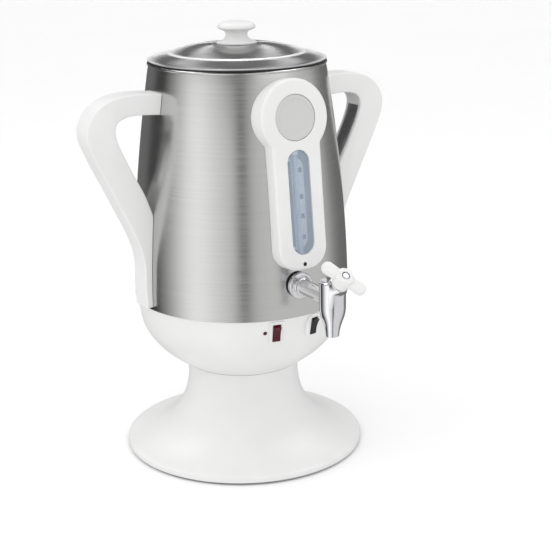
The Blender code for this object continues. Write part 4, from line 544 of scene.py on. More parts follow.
def slab(points, low, high, place, rounding=0.0, steps=SLAB_STEPS, both=True):
    """A flat outline thickened from low to high, with its outer edges rounded."""
    shape = bmesh.new()
    face = shape.faces.new([shape.verts.new((x, y, low)) for x, y in points])
    moved = bmesh.ops.extrude_face_region(shape, geom=[face])["geom"]
    caps = [item for item in moved if isinstance(item, bmesh.types.BMFace)]
    bmesh.ops.translate(shape, verts=[item for item in moved if isinstance(item, bmesh.types.BMVert)],
                        vec=(0, 0, high - low))
    bmesh.ops.recalc_face_normals(shape, faces=shape.faces)
    if rounding:
        if both:
            caps = [item for item in shape.faces if len(item.verts) == len(points)]
        edges = [edge for edge in shape.edges if any(face in caps for face in edge.link_faces)]
        bmesh.ops.bevel(shape, geom=edges, offset=rounding, offset_type="OFFSET", segments=steps,
                        profile=0.5, affect="EDGES", material=-1, clamp_overlap=True)
    return settled(shape, place)


def block(low, high, place):
    """A plain block between two corners of its own frame."""
    low, high = Vector(low), Vector(high)
    shape = bmesh.new()
    bmesh.ops.create_cube(
        shape, size=1, matrix=Matrix.Translation((low + high) / 2) @ Matrix.Diagonal((*(high - low), 1))
    )
    return settled(shape, place)


def rod(radius, low, high, place, sides=SMALL_SIDES):
    """A plain round bar along its own Z."""
    shape = bmesh.new()
    bmesh.ops.create_cone(shape, cap_ends=True, segments=sides, radius1=radius, radius2=radius,
                          depth=high - low, matrix=Matrix.Translation((0, 0, (low + high) / 2)))
    return settled(shape, place)


def settled(shape, place=None):
    """The shape with its doubles merged and its faces outward, in place."""
    bmesh.ops.remove_doubles(shape, verts=shape.verts, dist=MERGE)
    bmesh.ops.dissolve_degenerate(shape, edges=shape.edges, dist=MERGE)
    bmesh.ops.recalc_face_normals(shape, faces=shape.faces)
    if place is not None:
        bmesh.ops.transform(shape, matrix=place, verts=shape.verts)
    return shape


def added(name, data):
    """A new object of the scene."""
    item = bpy.data.objects.new(name, data)
    bpy.context.scene.collection.objects.link(item)
    return item


def meshed(name, shape):
    """A new object with the shape as its mesh."""
    mesh = bpy.data.meshes.new(name)
    shape.to_mesh(mesh)
    shape.free()
    return added(name, mesh)


def combined(shape, tools, operation="DIFFERENCE"):
    """The shape with the tools cut out of it or joined to it."""
    parts = [meshed("cut", item) for item in (shape, *tools)]
    for tool in parts[1:]:
        step = parts[0].modifiers.new("cut", "BOOLEAN")
        step.operation = operation
        step.object = tool
        step.solver = "EXACT"
    bpy.context.view_layer.update()
    graph = bpy.context.evaluated_depsgraph_get()
    mesh = bpy.data.meshes.new_from_object(parts[0].evaluated_get(graph), depsgraph=graph)
    result = bmesh.new()
    result.from_mesh(mesh)
    bpy.data.meshes.remove(mesh)
    for part in parts:
        data = part.data
        bpy.data.objects.remove(part)
        bpy.data.meshes.remove(data)
    return settled(result)


def piece(name, shape, slot, body="base", nodes=(), material=None):
    """Makes an object of the shape, which rides on its body and stands for its CAD nodes."""
    for face in shape.faces:
        face.smooth = True
    item = meshed(name, shape)
    item.data.set_sharp_from_angle(angle=SHARP_ANGLE)
    item.data.materials.append(material or finish(slot))
    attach(item, body)
    if nodes:
        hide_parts(*nodes)


# The body's outlines
def vessel_radius(height):
    """The vessel's outer radius at a height: straight below, then drawn in along a power curve."""
    s = sizes()
    share = (height - s.vessel_curve_start) / (s.vessel_rim_height - s.vessel_curve_start)
    drawn_in = max(share, 0.0) ** s.vessel_curve_power
    return s.vessel_radius - (s.vessel_radius - s.vessel_rim_radius) * drawn_in


def vessel_side(steps, grow=0.0, drop=0.0):
    """Points down the vessel's side, moved outwards by grow and ending lower by drop."""
    s = sizes()
    top, start = s.vessel_rim_height, s.vessel_curve_start
    heights = [top + (start - top) * step / steps for step in range(steps + 1)]
    return [(vessel_radius(height) + grow, height) for height in heights + [s.vessel_bottom - drop]]


def vessel_former():
    """A solid as large as the vessel and the gap round it, for cutting what lies against it."""
    side = vessel_side(FORMER_STEPS, GAP, OVERRUN)
    return turned([(0, sizes().vessel_rim_height)] + side + [(0, side[-1][1])])


def bowl_side(steps):
    """Points down the bowl's outer side, from its upper edge to the seam with the foot."""
    s = sizes()
    seam, side = (s.seam_radius, s.seam_height), (s.bowl_side_radius, s.bowl_side_height)
    return [(s.bowl_top_radius, s.vessel_bottom - GAP)] + bezier(
        side, *shared(BOWL_HANDLE_SHARES, seam, side), (s.seam_radius, s.seam_height + GAP), steps)


def bowl_radius(height):
    """The bowl's outer radius at a height, read off its side."""
    side = bowl_side(FORMER_STEPS)
    for (r0, z0), (r1, z1) in zip(side, side[1:]):
        if z1 <= height <= z0:
            return r1 + (r0 - r1) * (height - z1) / (z0 - z1)
    raise ValueError("The bowl has no side at the height %.4f" % height)


def foot_side():
    """Points down the foot's outer side, from the seam to the rim's lower edge."""
    s = sizes()
    edge = s.foot_radius - FOOT_RIM_ROUND
    handles = shared(FLARE_HANDLE_SHARES, (s.waist_radius, s.foot_rim_height),
                     (s.foot_radius, s.waist_height))
    flare = bezier((s.waist_radius, s.waist_height), *handles, (edge, s.foot_rim_height), CURVE_STEPS)
    rim = arc((edge, s.foot_rim_height - FOOT_RIM_ROUND), FOOT_RIM_ROUND, 90, 0, CORNER_STEPS)
    return [(s.seam_radius, s.seam_height)] + flare + rim[1:] + [(s.foot_radius, 0)]


# Materials
class Nodes:
    """The nodes of a material or world, with short calls to add and join them."""

    def __init__(self, owner):
        owner.use_nodes = True
        self.tree = owner.node_tree

    def add(self, kind, inputs=None, **settings):
        """A new node with its settings, its inputs set or joined."""
        node = self.tree.nodes.new(kind)
        for key, value in settings.items():
            setattr(node, key, value)
        for key, value in (inputs or {}).items():
            self.put(node.inputs[key], value)
        return node

    def put(self, socket, value):
        """Sets a socket, or joins another socket to it."""
        if isinstance(value, bpy.types.NodeSocket):
            self.tree.links.new(value, socket)
        else:
            socket.default_value = value

    def math(self, operation, first, second):
        """What an operation makes of two values."""
        return self.add("ShaderNodeMath", {0: first, 1: second}, operation=operation).outputs[0]

    def span(self, value, low, high, start=0.3, end=0.7):
        """A value brought from its own span, noise's unless given, to one between low and high."""
        node = self.add("ShaderNodeMapRange", {"Value": value, "From Min": start, "From Max": end,
                                               "To Min": low, "To Max": high})
        return node.outputs["Result"]

    def mix(self, factor, first, second):
        """A colour between two."""
        node = self.add("ShaderNodeMix", data_type="RGBA")
        for key, value in (("Factor", factor), (6, first), (7, second)):
            self.put(node.inputs[key], value)
        return node.outputs[2]


class Finish(Nodes):
    """A material, with patterns in the piece's own place for its colour, gloss and relief."""

    def __init__(self, name):
        self.material = bpy.data.materials.new(name)
        super().__init__(self.material)
        self.shader = self.tree.nodes["Principled BSDF"]
        self.place = self.add("ShaderNodeTexCoord").outputs["Object"]

    def set(self, **values):
        """Sets or joins the shader's own sockets."""
        for key, value in values.items():
            self.put(self.shader.inputs[key.replace("_", " ")], value)

    def noise(self, scale, detail=3.0, place=None):
        """Noise at so many cells per metre, or in the place given."""
        node = self.add("ShaderNodeTexNoise", {"Vector": place or self.place, "Scale": scale,
                                               "Detail": detail})
        return node.outputs["Fac"]

    def stretched(self, scale):
        """The place scaled along each axis."""
        return self.add("ShaderNodeMapping", {"Vector": self.place, "Scale": scale}).outputs["Vector"]

    def round_the_crown(self):
        """The place whose Z runs out from the middle of the lid."""
        flat = self.stretched((1.0, 1.0, 0.0))
        radius = self.add("ShaderNodeVectorMath", {0: flat}, operation="LENGTH").outputs["Value"]
        parts = self.add("ShaderNodeSeparateXYZ", {0: self.stretched(CROWN_DRIFT)}).outputs
        lines = self.math("MULTIPLY", radius, CROWN_LINES)
        return self.add("ShaderNodeCombineXYZ", {0: parts[0], 1: parts[1], 2: lines}).outputs[0]

    def shades(self, value, tint, tones):
        """The tint between a darker and a lighter tone, by noise."""
        dark, light = ((*scaled(tint, tone), 1) for tone in tones)
        return self.mix(self.span(value, 0.0, 1.0), dark, light)

    def bump(self, height, strength, distance):
        """A bump from noise."""
        node = self.add("ShaderNodeBump", {"Height": height, "Strength": strength, "Distance": distance})
        return node.outputs["Normal"]


def scaled(tint, factor):
    """A colour made darker or lighter."""
    return [min(part * factor, 1.0) for part in tint]


def mottled(name, tint, tones, scales, roughness, relief=None, **values):
    """A material whose colour, gloss and relief vary, each by noise of its own scale."""
    made = Finish(name)
    colour_noise, gloss_noise, relief_noise = (made.noise(scale) for scale in scales)
    made.set(Base_Color=made.shades(colour_noise, tint, tones),
             Roughness=made.span(gloss_noise, *roughness), **values)
    if relief:
        made.set(Normal=made.bump(relief_noise, *relief))
    return made.material


def plastic(name, tint, roughness=0.42, grain=900.0, relief=0.015, depth=0.97, glow=0.0):
    """Moulded plastic: faint mottling and a fine grain, lit from inside where it glows."""
    lit = {"Emission_Color": (*tint, 1), "Emission_Strength": glow} if glow else {}
    return mottled(name, tint, tones=(depth, 1.0), scales=(26.0, grain, grain),
                   roughness=(roughness - 0.04, roughness + 0.06), relief=(relief, SOFT_RELIEF),
                   Specular_IOR_Level=0.3, **lit)


def polished(name, tint):
    """Polished metal with the faintest wave."""
    return mottled(name, tint, tones=(0.96, 1.0), scales=(240.0, 60.0, 240.0), roughness=(0.04, 0.09),
                   relief=(0.02, SOFT_RELIEF), Metallic=1.0)


def plain_metal(name, tint, roughness=0.38):
    """Plain or plated metal with a fine grain."""
    return mottled(name, tint, tones=(0.88, 1.0), scales=(60.0, 700.0, 700.0),
                   roughness=(roughness - 0.06, roughness + 0.08), relief=(0.08, FINE_RELIEF),
                   Metallic=1.0)


def clear(name, tint, alpha):
    """Clear plastic with a tint."""
    material = mottled(name, tint, tones=(0.94, 1.0), scales=(40.0, 40.0, 40.0), roughness=(0.06, 0.12),
                       relief=(0.03, SOFT_RELIEF), Alpha=alpha)
    material.surface_render_method = "BLENDED"
    return material


def brushed(name, tint, stretch=None, roughness=0.2, relief=0.03, pull=0.0):
    """Steel brushed in fine lines, along the stretch or, without it, round the crown."""
    made = Finish(name)
    if pull:
        tangent = made.add("ShaderNodeTangent", direction_type="RADIAL", axis="Z").outputs[0]
        made.set(Anisotropic=pull, Tangent=tangent)
    lines = made.noise(scale=1.0, detail=4.0,
                       place=made.stretched(stretch) if stretch else made.round_the_crown())
    blotches = made.math("ADD", lines, made.noise(BRUSH_BLOTCH_SCALE))
    made.set(Metallic=1.0, Base_Color=made.shades(lines, tint, BRUSH_TONES),
             Roughness=made.span(blotches, roughness - 0.04, roughness + 0.05, *BRUSH_BLOTCH_SPAN),
             Normal=made.bump(lines, relief, FINE_RELIEF))
    return made.material


FINISHES = {
    "white_plastic": (plastic, {}),
    "brushed_steel": (brushed, {"stretch": (11.0, 11.0, 1500.0), "pull": 0.6}),
    "lid_steel": (brushed, {"roughness": 0.30, "relief": 0.02, "pull": 0.95}),
    "strap_steel": (brushed, {"stretch": (20.0, 1800.0, 20.0), "roughness": 0.32}),
    "tap_chrome": (polished, {}),
    "dark_plastic": (plastic, {"depth": 0.7}),
    "red_plastic": (plastic, {"roughness": 0.22, "glow": 0.3}),
    "clear_blue": (clear, {"alpha": 0.30}),
    "clear_tube": (clear, {"alpha": 0.55}),
    "scale_white": (plastic, {}),
    "brass": (plain_metal, {}),
    "aluminium": (plain_metal, {"roughness": 0.45}),
    "zinc_steel": (plain_metal, {}),
    "silicone": (plastic, {"roughness": 0.6, "grain": 500.0, "relief": 0.1, "depth": 0.8}),
    "brown_cover": (plastic, {"roughness": 0.45}),
    "blue_cover": (plastic, {"roughness": 0.45}),
    "green_cover": (plastic, {"roughness": 0.45}),
    "cream_plastic": (plastic, {"roughness": 0.5}),
}


def finish(slot):
    """The material of a slot, made once."""
    material = bpy.data.materials.get(slot)
    if material is not None:
        if material.get("samovar"):
            return material
        material.name = slot + "_of_the_frame"
    maker, options = FINISHES[slot]
    material = maker(slot, getattr(looks(), slot), **options)
    material["samovar"] = True
    return material


# Foot and bowl
def make_foot():
    """The foot with its bottom plate and rubber ring."""
    s = sizes()
    outer = foot_side()
    wall, ceiling = s.foot_radius - FOOT_WALL, s.seam_height - FOOT_WALL
    inner = [(min(r, wall), z) for r, z in beside(outer[1:-1], FOOT_WALL) if z > 0]
    hole = STUD_RADIUS + GAP
    line = [(hole, s.seam_height)] + outer + [(wall, 0)] + inner[::-1]
    line += [(s.seam_radius - FOOT_WALL, ceiling), (hole, ceiling)]
    piece("foot", turned(line, closed=True), "white_plastic", nodes=["pedestal_foot"])
    plate = [(0, PLATE_THICKNESS), (wall - GAP, PLATE_THICKNESS), (wall - GAP, GAP),
             (wall - 2 * GAP, 0), (0, 0)]
    piece("underside_plate", turned(plate), "dark_plastic", nodes=["bottom_plate"])
    low, edge = -PAD_HEIGHT, PAD_ROUND
    ring = [(PAD_INNER_RADIUS, -GAP), (PAD_OUTER_RADIUS, -GAP)]
    ring += arc((PAD_OUTER_RADIUS - edge, low + edge), edge, 0, -90, EDGE_STEPS)
    ring += arc((PAD_INNER_RADIUS + edge, low + edge), edge, -90, -180, EDGE_STEPS)
    piece("ring_pad", turned(ring, closed=True), "silicone", nodes=["rubber_ring_foot"])


def rocker_opening():
    """Half width and half length of the opening that a rocker moves in."""
    return ROCKER_HALF_WIDTH + GAP, ROCKER_HALF_LENGTH + ROCKER_END_CLEARANCE


def make_bowl():
    """The bowl under the vessel with its openings."""
    s = sizes()
    shoulder = s.vessel_bottom - GAP
    spigot = s.vessel_radius - VESSEL_WALL - GAP
    hole, floor = STUD_RADIUS + GAP, s.seam_height + GAP
    side = bowl_side(CURVE_STEPS)
    inner = [(r, z) for r, z in beside(side[1:-1], BOWL_WALL) if z > floor + BOWL_WALL]
    line = [(spigot - BOWL_WALL, shoulder + SPIGOT_HEIGHT), (spigot, shoulder + SPIGOT_HEIGHT),
            (spigot, shoulder)] + side + [(hole, floor), (hole, floor + BOWL_WALL)] + inner[::-1]
    half_width, half_length = (half + SWITCH_WALL + GAP for half in rocker_opening())
    openings = [(half_width, half_length, azimuth, s.switch_height, SWITCH_LEAN)
                for azimuth in (s.power_azimuth, s.warm_azimuth)]
    openings.append((INLET_HALF_WIDTH + GAP, INLET_HALF_HEIGHT + GAP, math.pi, s.inlet_height, INLET_LEAN))
    tools = [block((-across, -up, -2 * OVERRUN), (across, up, OVERRUN),
                   on_side(bowl_radius, azimuth, height, lean))
             for across, up, azimuth, height, lean in openings]
    tools.append(rod(LAMP_RADIUS + GAP, -2 * OVERRUN, OVERRUN,
                     on_side(bowl_radius, s.lamp_azimuth, s.switch_height, SWITCH_LEAN)))
    piece("bowl", combined(turned(line, closed=True), tools), "white_plastic", nodes=["base_bowl"])


# Vessel
def make_vessel():
    """The steel vessel with its rolled rim and raised floor."""
    s = sizes()
    floor = s.vessel_bottom + VESSEL_FLOOR_RISE
    corner = s.vessel_radius - VESSEL_WALL
    side = vessel_side(VESSEL_STEPS)
    inner = [(r - VESSEL_WALL, z) for r, z in reversed(side) if z > floor + VESSEL_WALL]
    roll = arc((s.vessel_rim_radius, s.vessel_rim_height), VESSEL_RIM_ROLL, 90, -90, BEND_STEPS)
    line = [(0, floor + VESSEL_WALL), (corner, floor + VESSEL_WALL)] + inner + roll + side[1:]
    line += [(corner, s.vessel_bottom), (corner, floor), (0, floor)]
    piece("steel_vessel", turned(line), "brushed_steel", nodes=["vessel"])


# Lid and knob
def lid_heights():
    """The heights of the lid's edge, lip, step, dome edge and crown."""
    edge = sizes().vessel_rim_height + LID_EDGE_LOW
    lip = edge + LID_LIP_HEIGHT
    step = lip + LID_SHOULDER_RISE
    dome_edge = step + LID_STEP_RISE
    return edge, lip, step, dome_edge, dome_edge + sizes().lid_dome_rise


def make_lid():
    """The lid with its skirt, and the seal under its edge."""
    s = sizes()
    edge, lip, step, dome_edge, crown = lid_heights()
    dome = bezier((s.lid_crown_radius, crown),
                  *shared(LID_DOME_SHARES, (s.lid_crown_radius, dome_edge), (s.lid_dome_radius, crown)),
                  (s.lid_dome_radius, dome_edge), CURVE_STEPS)
    shoulder = bezier((s.lid_step_radius, step),
                      *shared(LID_SHOULDER_SHARES, (s.lid_step_radius, lip), (s.lid_radius, step)),
                      (s.lid_radius, lip), CURVE_STEPS)
    outer = [(LID_HOLE, crown)] + dome + shoulder + [(s.lid_radius, edge)]
    inner = beside(outer, LID_WALL)
    beyond = [point for point in inner if point[0] > LID_SKIRT_OUTER]
    within = [point for point in inner[1:] if point[0] < LID_SKIRT_INNER]
    skirt = [(LID_SKIRT_OUTER, beyond[0][1]), (LID_SKIRT_OUTER, LID_SKIRT_LOW),
             (LID_SKIRT_INNER, LID_SKIRT_LOW), (LID_SKIRT_INNER, within[-1][1])]
    under = beyond[::-1] + skirt + within[::-1] + [(LID_HOLE, crown - LID_WALL)]
    piece("steel_lid", turned(outer + under, closed=True), "lid_steel", "lid_body", ["lid"])
    low = s.vessel_rim_height + LID_SEAL_LOW
    high = low + LID_SEAL_HEIGHT
    ring = [(LID_SEAL_INNER, high), (LID_SEAL_OUTER, high), (LID_SEAL_OUTER, low), (LID_SEAL_INNER, low)]
    piece("seam_seal", turned(ring, closed=True), "silicone", "lid_body", ["lid_seal"])


def make_knob():
    """The knob on its flared base."""
    s = sizes()
    base = lid_heights()[-1] + GAP
    top, cap, neck = base + s.knob_height, base + KNOB_CAP_EDGE_HEIGHT, base + KNOB_NECK_HEIGHT
    line = bezier((0, top), (KNOB_CAP_FLAT, top), (s.knob_cap_radius, top - KNOB_CAP_DROP),
                  (s.knob_cap_radius, cap), KNOB_CAP_STEPS)
    line += bezier((KNOB_UNDER_RADIUS, cap - KNOB_CAP_DROP), (KNOB_HOLLOW_RADIUS, cap - KNOB_CAP_UNDERCUT),
                   (s.knob_neck_radius, cap - KNOB_CAP_UNDERCUT), (s.knob_neck_radius, neck), BEND_STEPS)
    narrow = neck - KNOB_NECK_SHARE * (neck - base)
    line += bezier((s.knob_neck_radius, neck), (s.knob_neck_radius, narrow),
                   (s.knob_base_radius * KNOB_FLARE_SHARE, base + KNOB_FLARE_RISE),
                   (s.knob_base_radius, base + KNOB_BASE_EDGE), BEND_STEPS)[1:]
    line += [(s.knob_base_radius, base), (LID_HOLE, base), (LID_HOLE, base + KNOB_HOLE_DEPTH),
             (0, base + KNOB_HOLE_DEPTH)]
    piece("knob", turned(line, RING_SIDES), "white_plastic", "lid_body", ["lid_knob"])


# Switches, lamp and inlet
def rocker_shape(place):
    """A rocker, tipped as it rests."""
    half, belly = ROCKER_HALF_LENGTH, ROCKER_HALF_LENGTH * ROCKER_BELLY_SHARE
    top, valley = ROCKER_PIVOT_DEPTH + ROCKER_PROUD, ROCKER_PIVOT_DEPTH + ROCKER_VALLEY
    side = [(-half, top), (-half, 0)]
    side += bezier((-belly, -ROCKER_BELLY / 2), (-belly / 2, -ROCKER_BELLY), (belly / 2, -ROCKER_BELLY),
                   (belly, -ROCKER_BELLY / 2), DIP_STEPS)
    dip = bezier((half, top), (half / 2, valley), (half / 4, valley), (0, valley), DIP_STEPS)
    side += [(half, 0)] + dip + mirrored(dip)[1:-1]
    upright = Matrix(((0, 0, 1, 0), (1, 0, 0, 0), (0, 1, 0, 0), (0, 0, 0, 1)))
    seat = place @ Matrix.Translation((0, 0, SWITCH_FLANGE - ROCKER_PIVOT_DEPTH))
    seat = seat @ Matrix.Rotation(ROCKER_TILT, 4, "X") @ upright
    return slab(side, -ROCKER_HALF_WIDTH, ROCKER_HALF_WIDTH, seat, ROCKER_ROUND, EDGE_STEPS)


def frame_shape(outline, place):
    """A switch's surround with the well that its rocker moves in."""
    half_width, half_length = rocker_opening()
    body = block((-half_width - SWITCH_WALL, -half_length - SWITCH_WALL, -SWITCH_DEPTH),
                 (half_width + SWITCH_WALL, half_length + SWITCH_WALL, SWITCH_FLANGE / 2), place)
    flange = slab(outline, -SWITCH_FLANGE, SWITCH_FLANGE, place, SWITCH_FLANGE_ROUND)
    well = block((-half_width, -half_length, SWITCH_FLANGE - ROCKER_PIVOT_DEPTH - ROCKER_BELLY - GAP),
                 (half_width, half_length, OVERRUN), place)
    return combined(combined(flange, [body], "UNION"), [well])


def make_switches():
    """Both switches and the lamp."""
    s = sizes()
    margin = SWITCH_WALL + POWER_FLANGE_MARGIN
    power = rounded_rectangle(*(half + margin for half in rocker_opening()), POWER_CORNER_SHARE * margin)
    warm = rounded_rectangle(WARM_FLANGE_HALF_WIDTH, WARM_FLANGE_HALF_LENGTH,
                             WARM_FLANGE_HALF_WIDTH * WARM_CORNER_SHARE, BEND_STEPS)
    for prefix, azimuth, outline, slot in (("power", s.power_azimuth, power, "red_plastic"),
                                           ("warm", s.warm_azimuth, warm, "dark_plastic")):
        place = on_side(bowl_radius, azimuth, s.switch_height, SWITCH_LEAN)
        piece(prefix + "_surround", frame_shape(outline, place), "white_plastic",
              nodes=[prefix + "_switch_frame"])
        piece(prefix + "_key", rocker_shape(place), slot, prefix + "_switch", [prefix + "_rocker"])
    dome = arc((0, LAMP_PROUD - LAMP_DOME_RADIUS), LAMP_DOME_RADIUS, 90, LAMP_DOME_END, CORNER_STEPS)
    lens = [(min(r, LAMP_RADIUS), z) for r, z in dome] + [(LAMP_RADIUS, -LAMP_LENGTH), (0, -LAMP_LENGTH)]
    place = on_side(bowl_radius, s.lamp_azimuth, s.switch_height, SWITCH_LEAN)
    piece("lamp_lens", turned(lens, SMALL_SIDES, place), "red_plastic", nodes=["power_lamp"])


def make_inlet():
    """The appliance inlet at the back of the bowl."""
    place = on_side(bowl_radius, math.pi, sizes().inlet_height, INLET_LEAN)
    margin = INLET_FLANGE_MARGIN
    outline = rounded_rectangle(INLET_HALF_WIDTH + margin, INLET_HALF_HEIGHT + margin, margin)
    flange = slab(outline, -INLET_SEAT, INLET_FLANGE, place, INLET_EDGE_ROUND, EDGE_STEPS)
    body = block((-INLET_HALF_WIDTH, -INLET_HALF_HEIGHT, -INLET_DEPTH),
                 (INLET_HALF_WIDTH, INLET_HALF_HEIGHT, INLET_FLANGE / 2), place)
    socket = slab(rounded_rectangle(INLET_HALF_WIDTH - INLET_WALL, INLET_HALF_HEIGHT - INLET_WALL,
                                    INLET_CORNER),
                  INLET_FLANGE - INLET_SOCKET_DEPTH, INLET_FLANGE + OVERRUN, place)
    shape = combined(combined(flange, [body], "UNION"), [socket])
    piece("rear_inlet", shape, "dark_plastic", nodes=["appliance_inlet"])


# Gauge panel
def panel_slope():
    """The angle by which the panel leans back with the wall."""
    s = sizes()
    drop = vessel_radius(s.panel_low) - vessel_radius(s.panel_high)
    return math.atan2(drop, s.panel_high - s.panel_low)


def panel_place():
    """The panel's frame: origin at its lower end on the wall, X across, Y up along it, Z out of it."""
    slope, low = panel_slope(), sizes().panel_low
    out = Vector((0, -math.cos(slope), math.sin(slope)))
    return place_at((0, -vessel_radius(low), low), X_AXIS, out)


def head_height():
    """The middle of the panel's round head, along its slope."""
    s = sizes()
    return (s.panel_high - s.panel_low) / math.cos(panel_slope()) - s.panel_head_radius


def window_high():
    """The upper end of the window and of the sight tube, along the slope."""
    return head_height() - WINDOW_HEAD_DROP


def panel_outline(inset):
    """The panel's outline, moved inwards: a column with a round foot and a round head."""
    s = sizes()
    head, half, corner = s.panel_head_radius - inset, s.panel_half_width - inset, PANEL_CORNER - inset
    fillet = PANEL_NECK_FILLET + inset
    rise = math.sqrt((head + fillet) ** 2 - (half + fillet) ** 2)
    meet = math.degrees(math.atan2(-rise, half + fillet))
    right = arc((half - corner, inset + corner), corner, -90, 0, PANEL_STEPS)
    right += arc((half + fillet, head_height() - rise), fillet, 180, 180 + meet, PANEL_STEPS // 2)
    right += arc((0, head_height()), head, meet, 90, PANEL_STEPS * 4)[1:]
    return right + mirrored(right[:-1])


def make_panel():
    """The gauge panel: housing, disc, window, dot, tube, scale, its level marks and a strip of painted
    shade.
    """
    s = sizes()
    place = panel_place()
    front, head = s.panel_proud, head_height()
    shape = slab(panel_outline(0.0), -PANEL_BACK_DEPTH, front, place, PANEL_EDGE, CORNER_STEPS, False)
    core = slab(panel_outline(PANEL_WALL), -PANEL_BACK_DEPTH - OVERRUN, front - PANEL_HEAD_WALL, place)
    wall = PANEL_WALL + PANEL_EDGE / 2
    column = slab(stadium(s.panel_half_width - wall, wall, head - DISC_RADIUS - PANEL_WALL),
                  -PANEL_BACK_DEPTH, front - PANEL_WALL, place)
    disc_place = place @ Matrix.Translation((0, head, 0))
    disc_hole = rod(DISC_RADIUS + GAP, front - DISC_SINK - DISC_DEPTH - GAP, front + OVERRUN, disc_place,
                    RING_SIDES)
    window_hole = slab(stadium(s.window_half_width, WINDOW_LOW, window_high(), GAP),
                       front - 2 * PANEL_WALL, front + OVERRUN, place)
    dot_place = place @ Matrix.Translation((0, PANEL_DOT_HEIGHT, 0))
    dot_hole = rod(PANEL_DOT_RADIUS + GAP, front - OVERRUN, front + OVERRUN, dot_place)
    shape = combined(shape, [vessel_former(), core, column, disc_hole, window_hole, dot_hole])
    piece("panel_housing", shape, "white_plastic", nodes=["gauge_housing"])
    make_disc(disc_place, front - DISC_SINK)
    window = slab(stadium(s.window_half_width, WINDOW_LOW, window_high()),
                  front - PANEL_WALL - GAP - WINDOW_KEY, front - WINDOW_SINK, place, WINDOW_ROUND,
                  EDGE_STEPS, False)
    piece("panel_window", window, "clear_blue", nodes=["gauge_window"])
    dot_top = front - PANEL_DOT_SINK
    piece("window_dot", rod(PANEL_DOT_RADIUS, dot_top - PANEL_DOT_LENGTH, dot_top, dot_place),
          "dark_plastic", nodes=["panel_dot"])
    make_gauge(place)


def make_disc(place, top):
    """The plain dished disc in the panel's head, its white darkened as painted shade."""
    low, back = top - DISC_EDGE, top - DISC_DEPTH
    line = [(0, low)] + bezier(*zip(DISC_DISH_RADII, (low, low, top, top)), DIP_STEPS)
    line += arc((DISC_RADIUS - DISC_EDGE, low), DISC_EDGE, 90, 0, ROUND_STEPS)
    line += [(DISC_RADIUS, back), (0, back)]
    # The disc's white plastic darkened: painted shade, not a colour of its own
    painted_shade_material = plastic("disc_grey", scaled(looks().white_plastic, DISC_PAINTED_SHADE))
    piece("panel_disc", turned(line, RING_SIDES, place), "white_plastic", nodes=["badge_disc"],
          material=painted_shade_material)


def make_gauge(place):
    """The sight tube, the scale behind it, its level marks and a dark strip of painted shade on the scale.
    """
    high, low = window_high() - GAP, TUBE_LOW + GAP
    upright = place @ Matrix.Translation((0, 0, TUBE_DEPTH)) @ Matrix.Rotation(-math.pi / 2, 4, "X")
    tube = [(TUBE_BORE, high), (TUBE_RADIUS, high), (TUBE_RADIUS, low), (TUBE_BORE, low)]
    piece("level_tube", turned(tube, SMALL_SIDES, upright, closed=True), "clear_tube",
          nodes=["sight_tube"])
    low = TUBE_LOW + PORT_SOCKET_DEPTH + SCALE_END
    top = window_high() - PORT_SOCKET_DEPTH - SCALE_END
    face = TUBE_DEPTH - TUBE_RADIUS - GAP
    piece("level_scale", slab(stadium(SCALE_HALF_WIDTH, low, top), face - SCALE_THICKNESS, face, place),
          "scale_white", nodes=["scale_plate"])
    marks = []
    for index, share in enumerate(LEVEL_MARK_SHARES):
        foot = low + (top - low) * share - LEVEL_MARK_HEIGHT / 2
        marks.append(("level_mark_%d" % (index + 1), LEVEL_MARK_NEAR, LEVEL_MARK_FAR, foot,
                      foot + LEVEL_MARK_HEIGHT))
    # A dark strip down the scale's left side: painted shade, no part of the gauge
    marks.append(("level_shade", -SCALE_PAINTED_SHADE_FAR, -LEVEL_MARK_NEAR, low + SCALE_END, top - SCALE_END))
    for name, left, right, foot, head in marks:
        piece(name, block((left, foot, face), (right, head, face + LEVEL_MARK_THICKNESS), place),
              "dark_plastic")


# Tap
def tap_centre():
    """The middle of the tap's upright body, on the barrel's axis."""
    s = sizes()
    return Vector((0, -vessel_radius(s.tap_height) - s.tap_reach, s.tap_height))


def stem_place():
    """The lever's axis: Z runs out along the sloping stem, X across."""
    out = Vector((0, -math.sin(BONNET_SLOPE), math.cos(BONNET_SLOPE)))
    return place_at(tap_centre() + Vector((0, 0, BONNET_CENTRE_RISE)), X_AXIS, out)


def barrel_line():
    """The outline of the tap's barrel from its outer end, with its collar, flange and shank."""
    reach, flange_end = sizes().tap_reach, TAP_SEAT + TAP_FLANGE_THICKNESS
    collar = (TAP_BARREL_RADIUS, flange_end + TAP_COLLAR_LENGTH)
    collar_foot = (TAP_COLLAR_RADIUS, collar[1] - TAP_COLLAR_RADIUS + TAP_BARREL_RADIUS)
    line = [(0, reach), (TAP_BARREL_RADIUS, reach)]
    line += bezier(collar, *shared(TAP_COLLAR_SHARES, collar, collar_foot), CORNER_STEPS)
    line += [(TAP_COLLAR_RADIUS, flange_end + TAP_FILLET), (TAP_COLLAR_RADIUS + TAP_FILLET, flange_end)]
    flange = shared(TAP_FLANGE_SHARES, (0, TAP_SEAT), (TAP_FLANGE_RADIUS, flange_end))
    line += bezier(*flange, CORNER_STEPS)
    return line + [(TAP_FLANGE_RADIUS, TAP_SEAT), (TAP_SHANK_RADIUS, TAP_SEAT),
                   (TAP_SHANK_RADIUS, -TAP_SHANK_LENGTH), (0, -TAP_SHANK_LENGTH)]


def capped(radius, top, rounding, steps):
    """The outline of a round top from its middle to its side."""
    return [(0, top)] + arc((radius - rounding, top - rounding), rounding, 90, 0, steps)


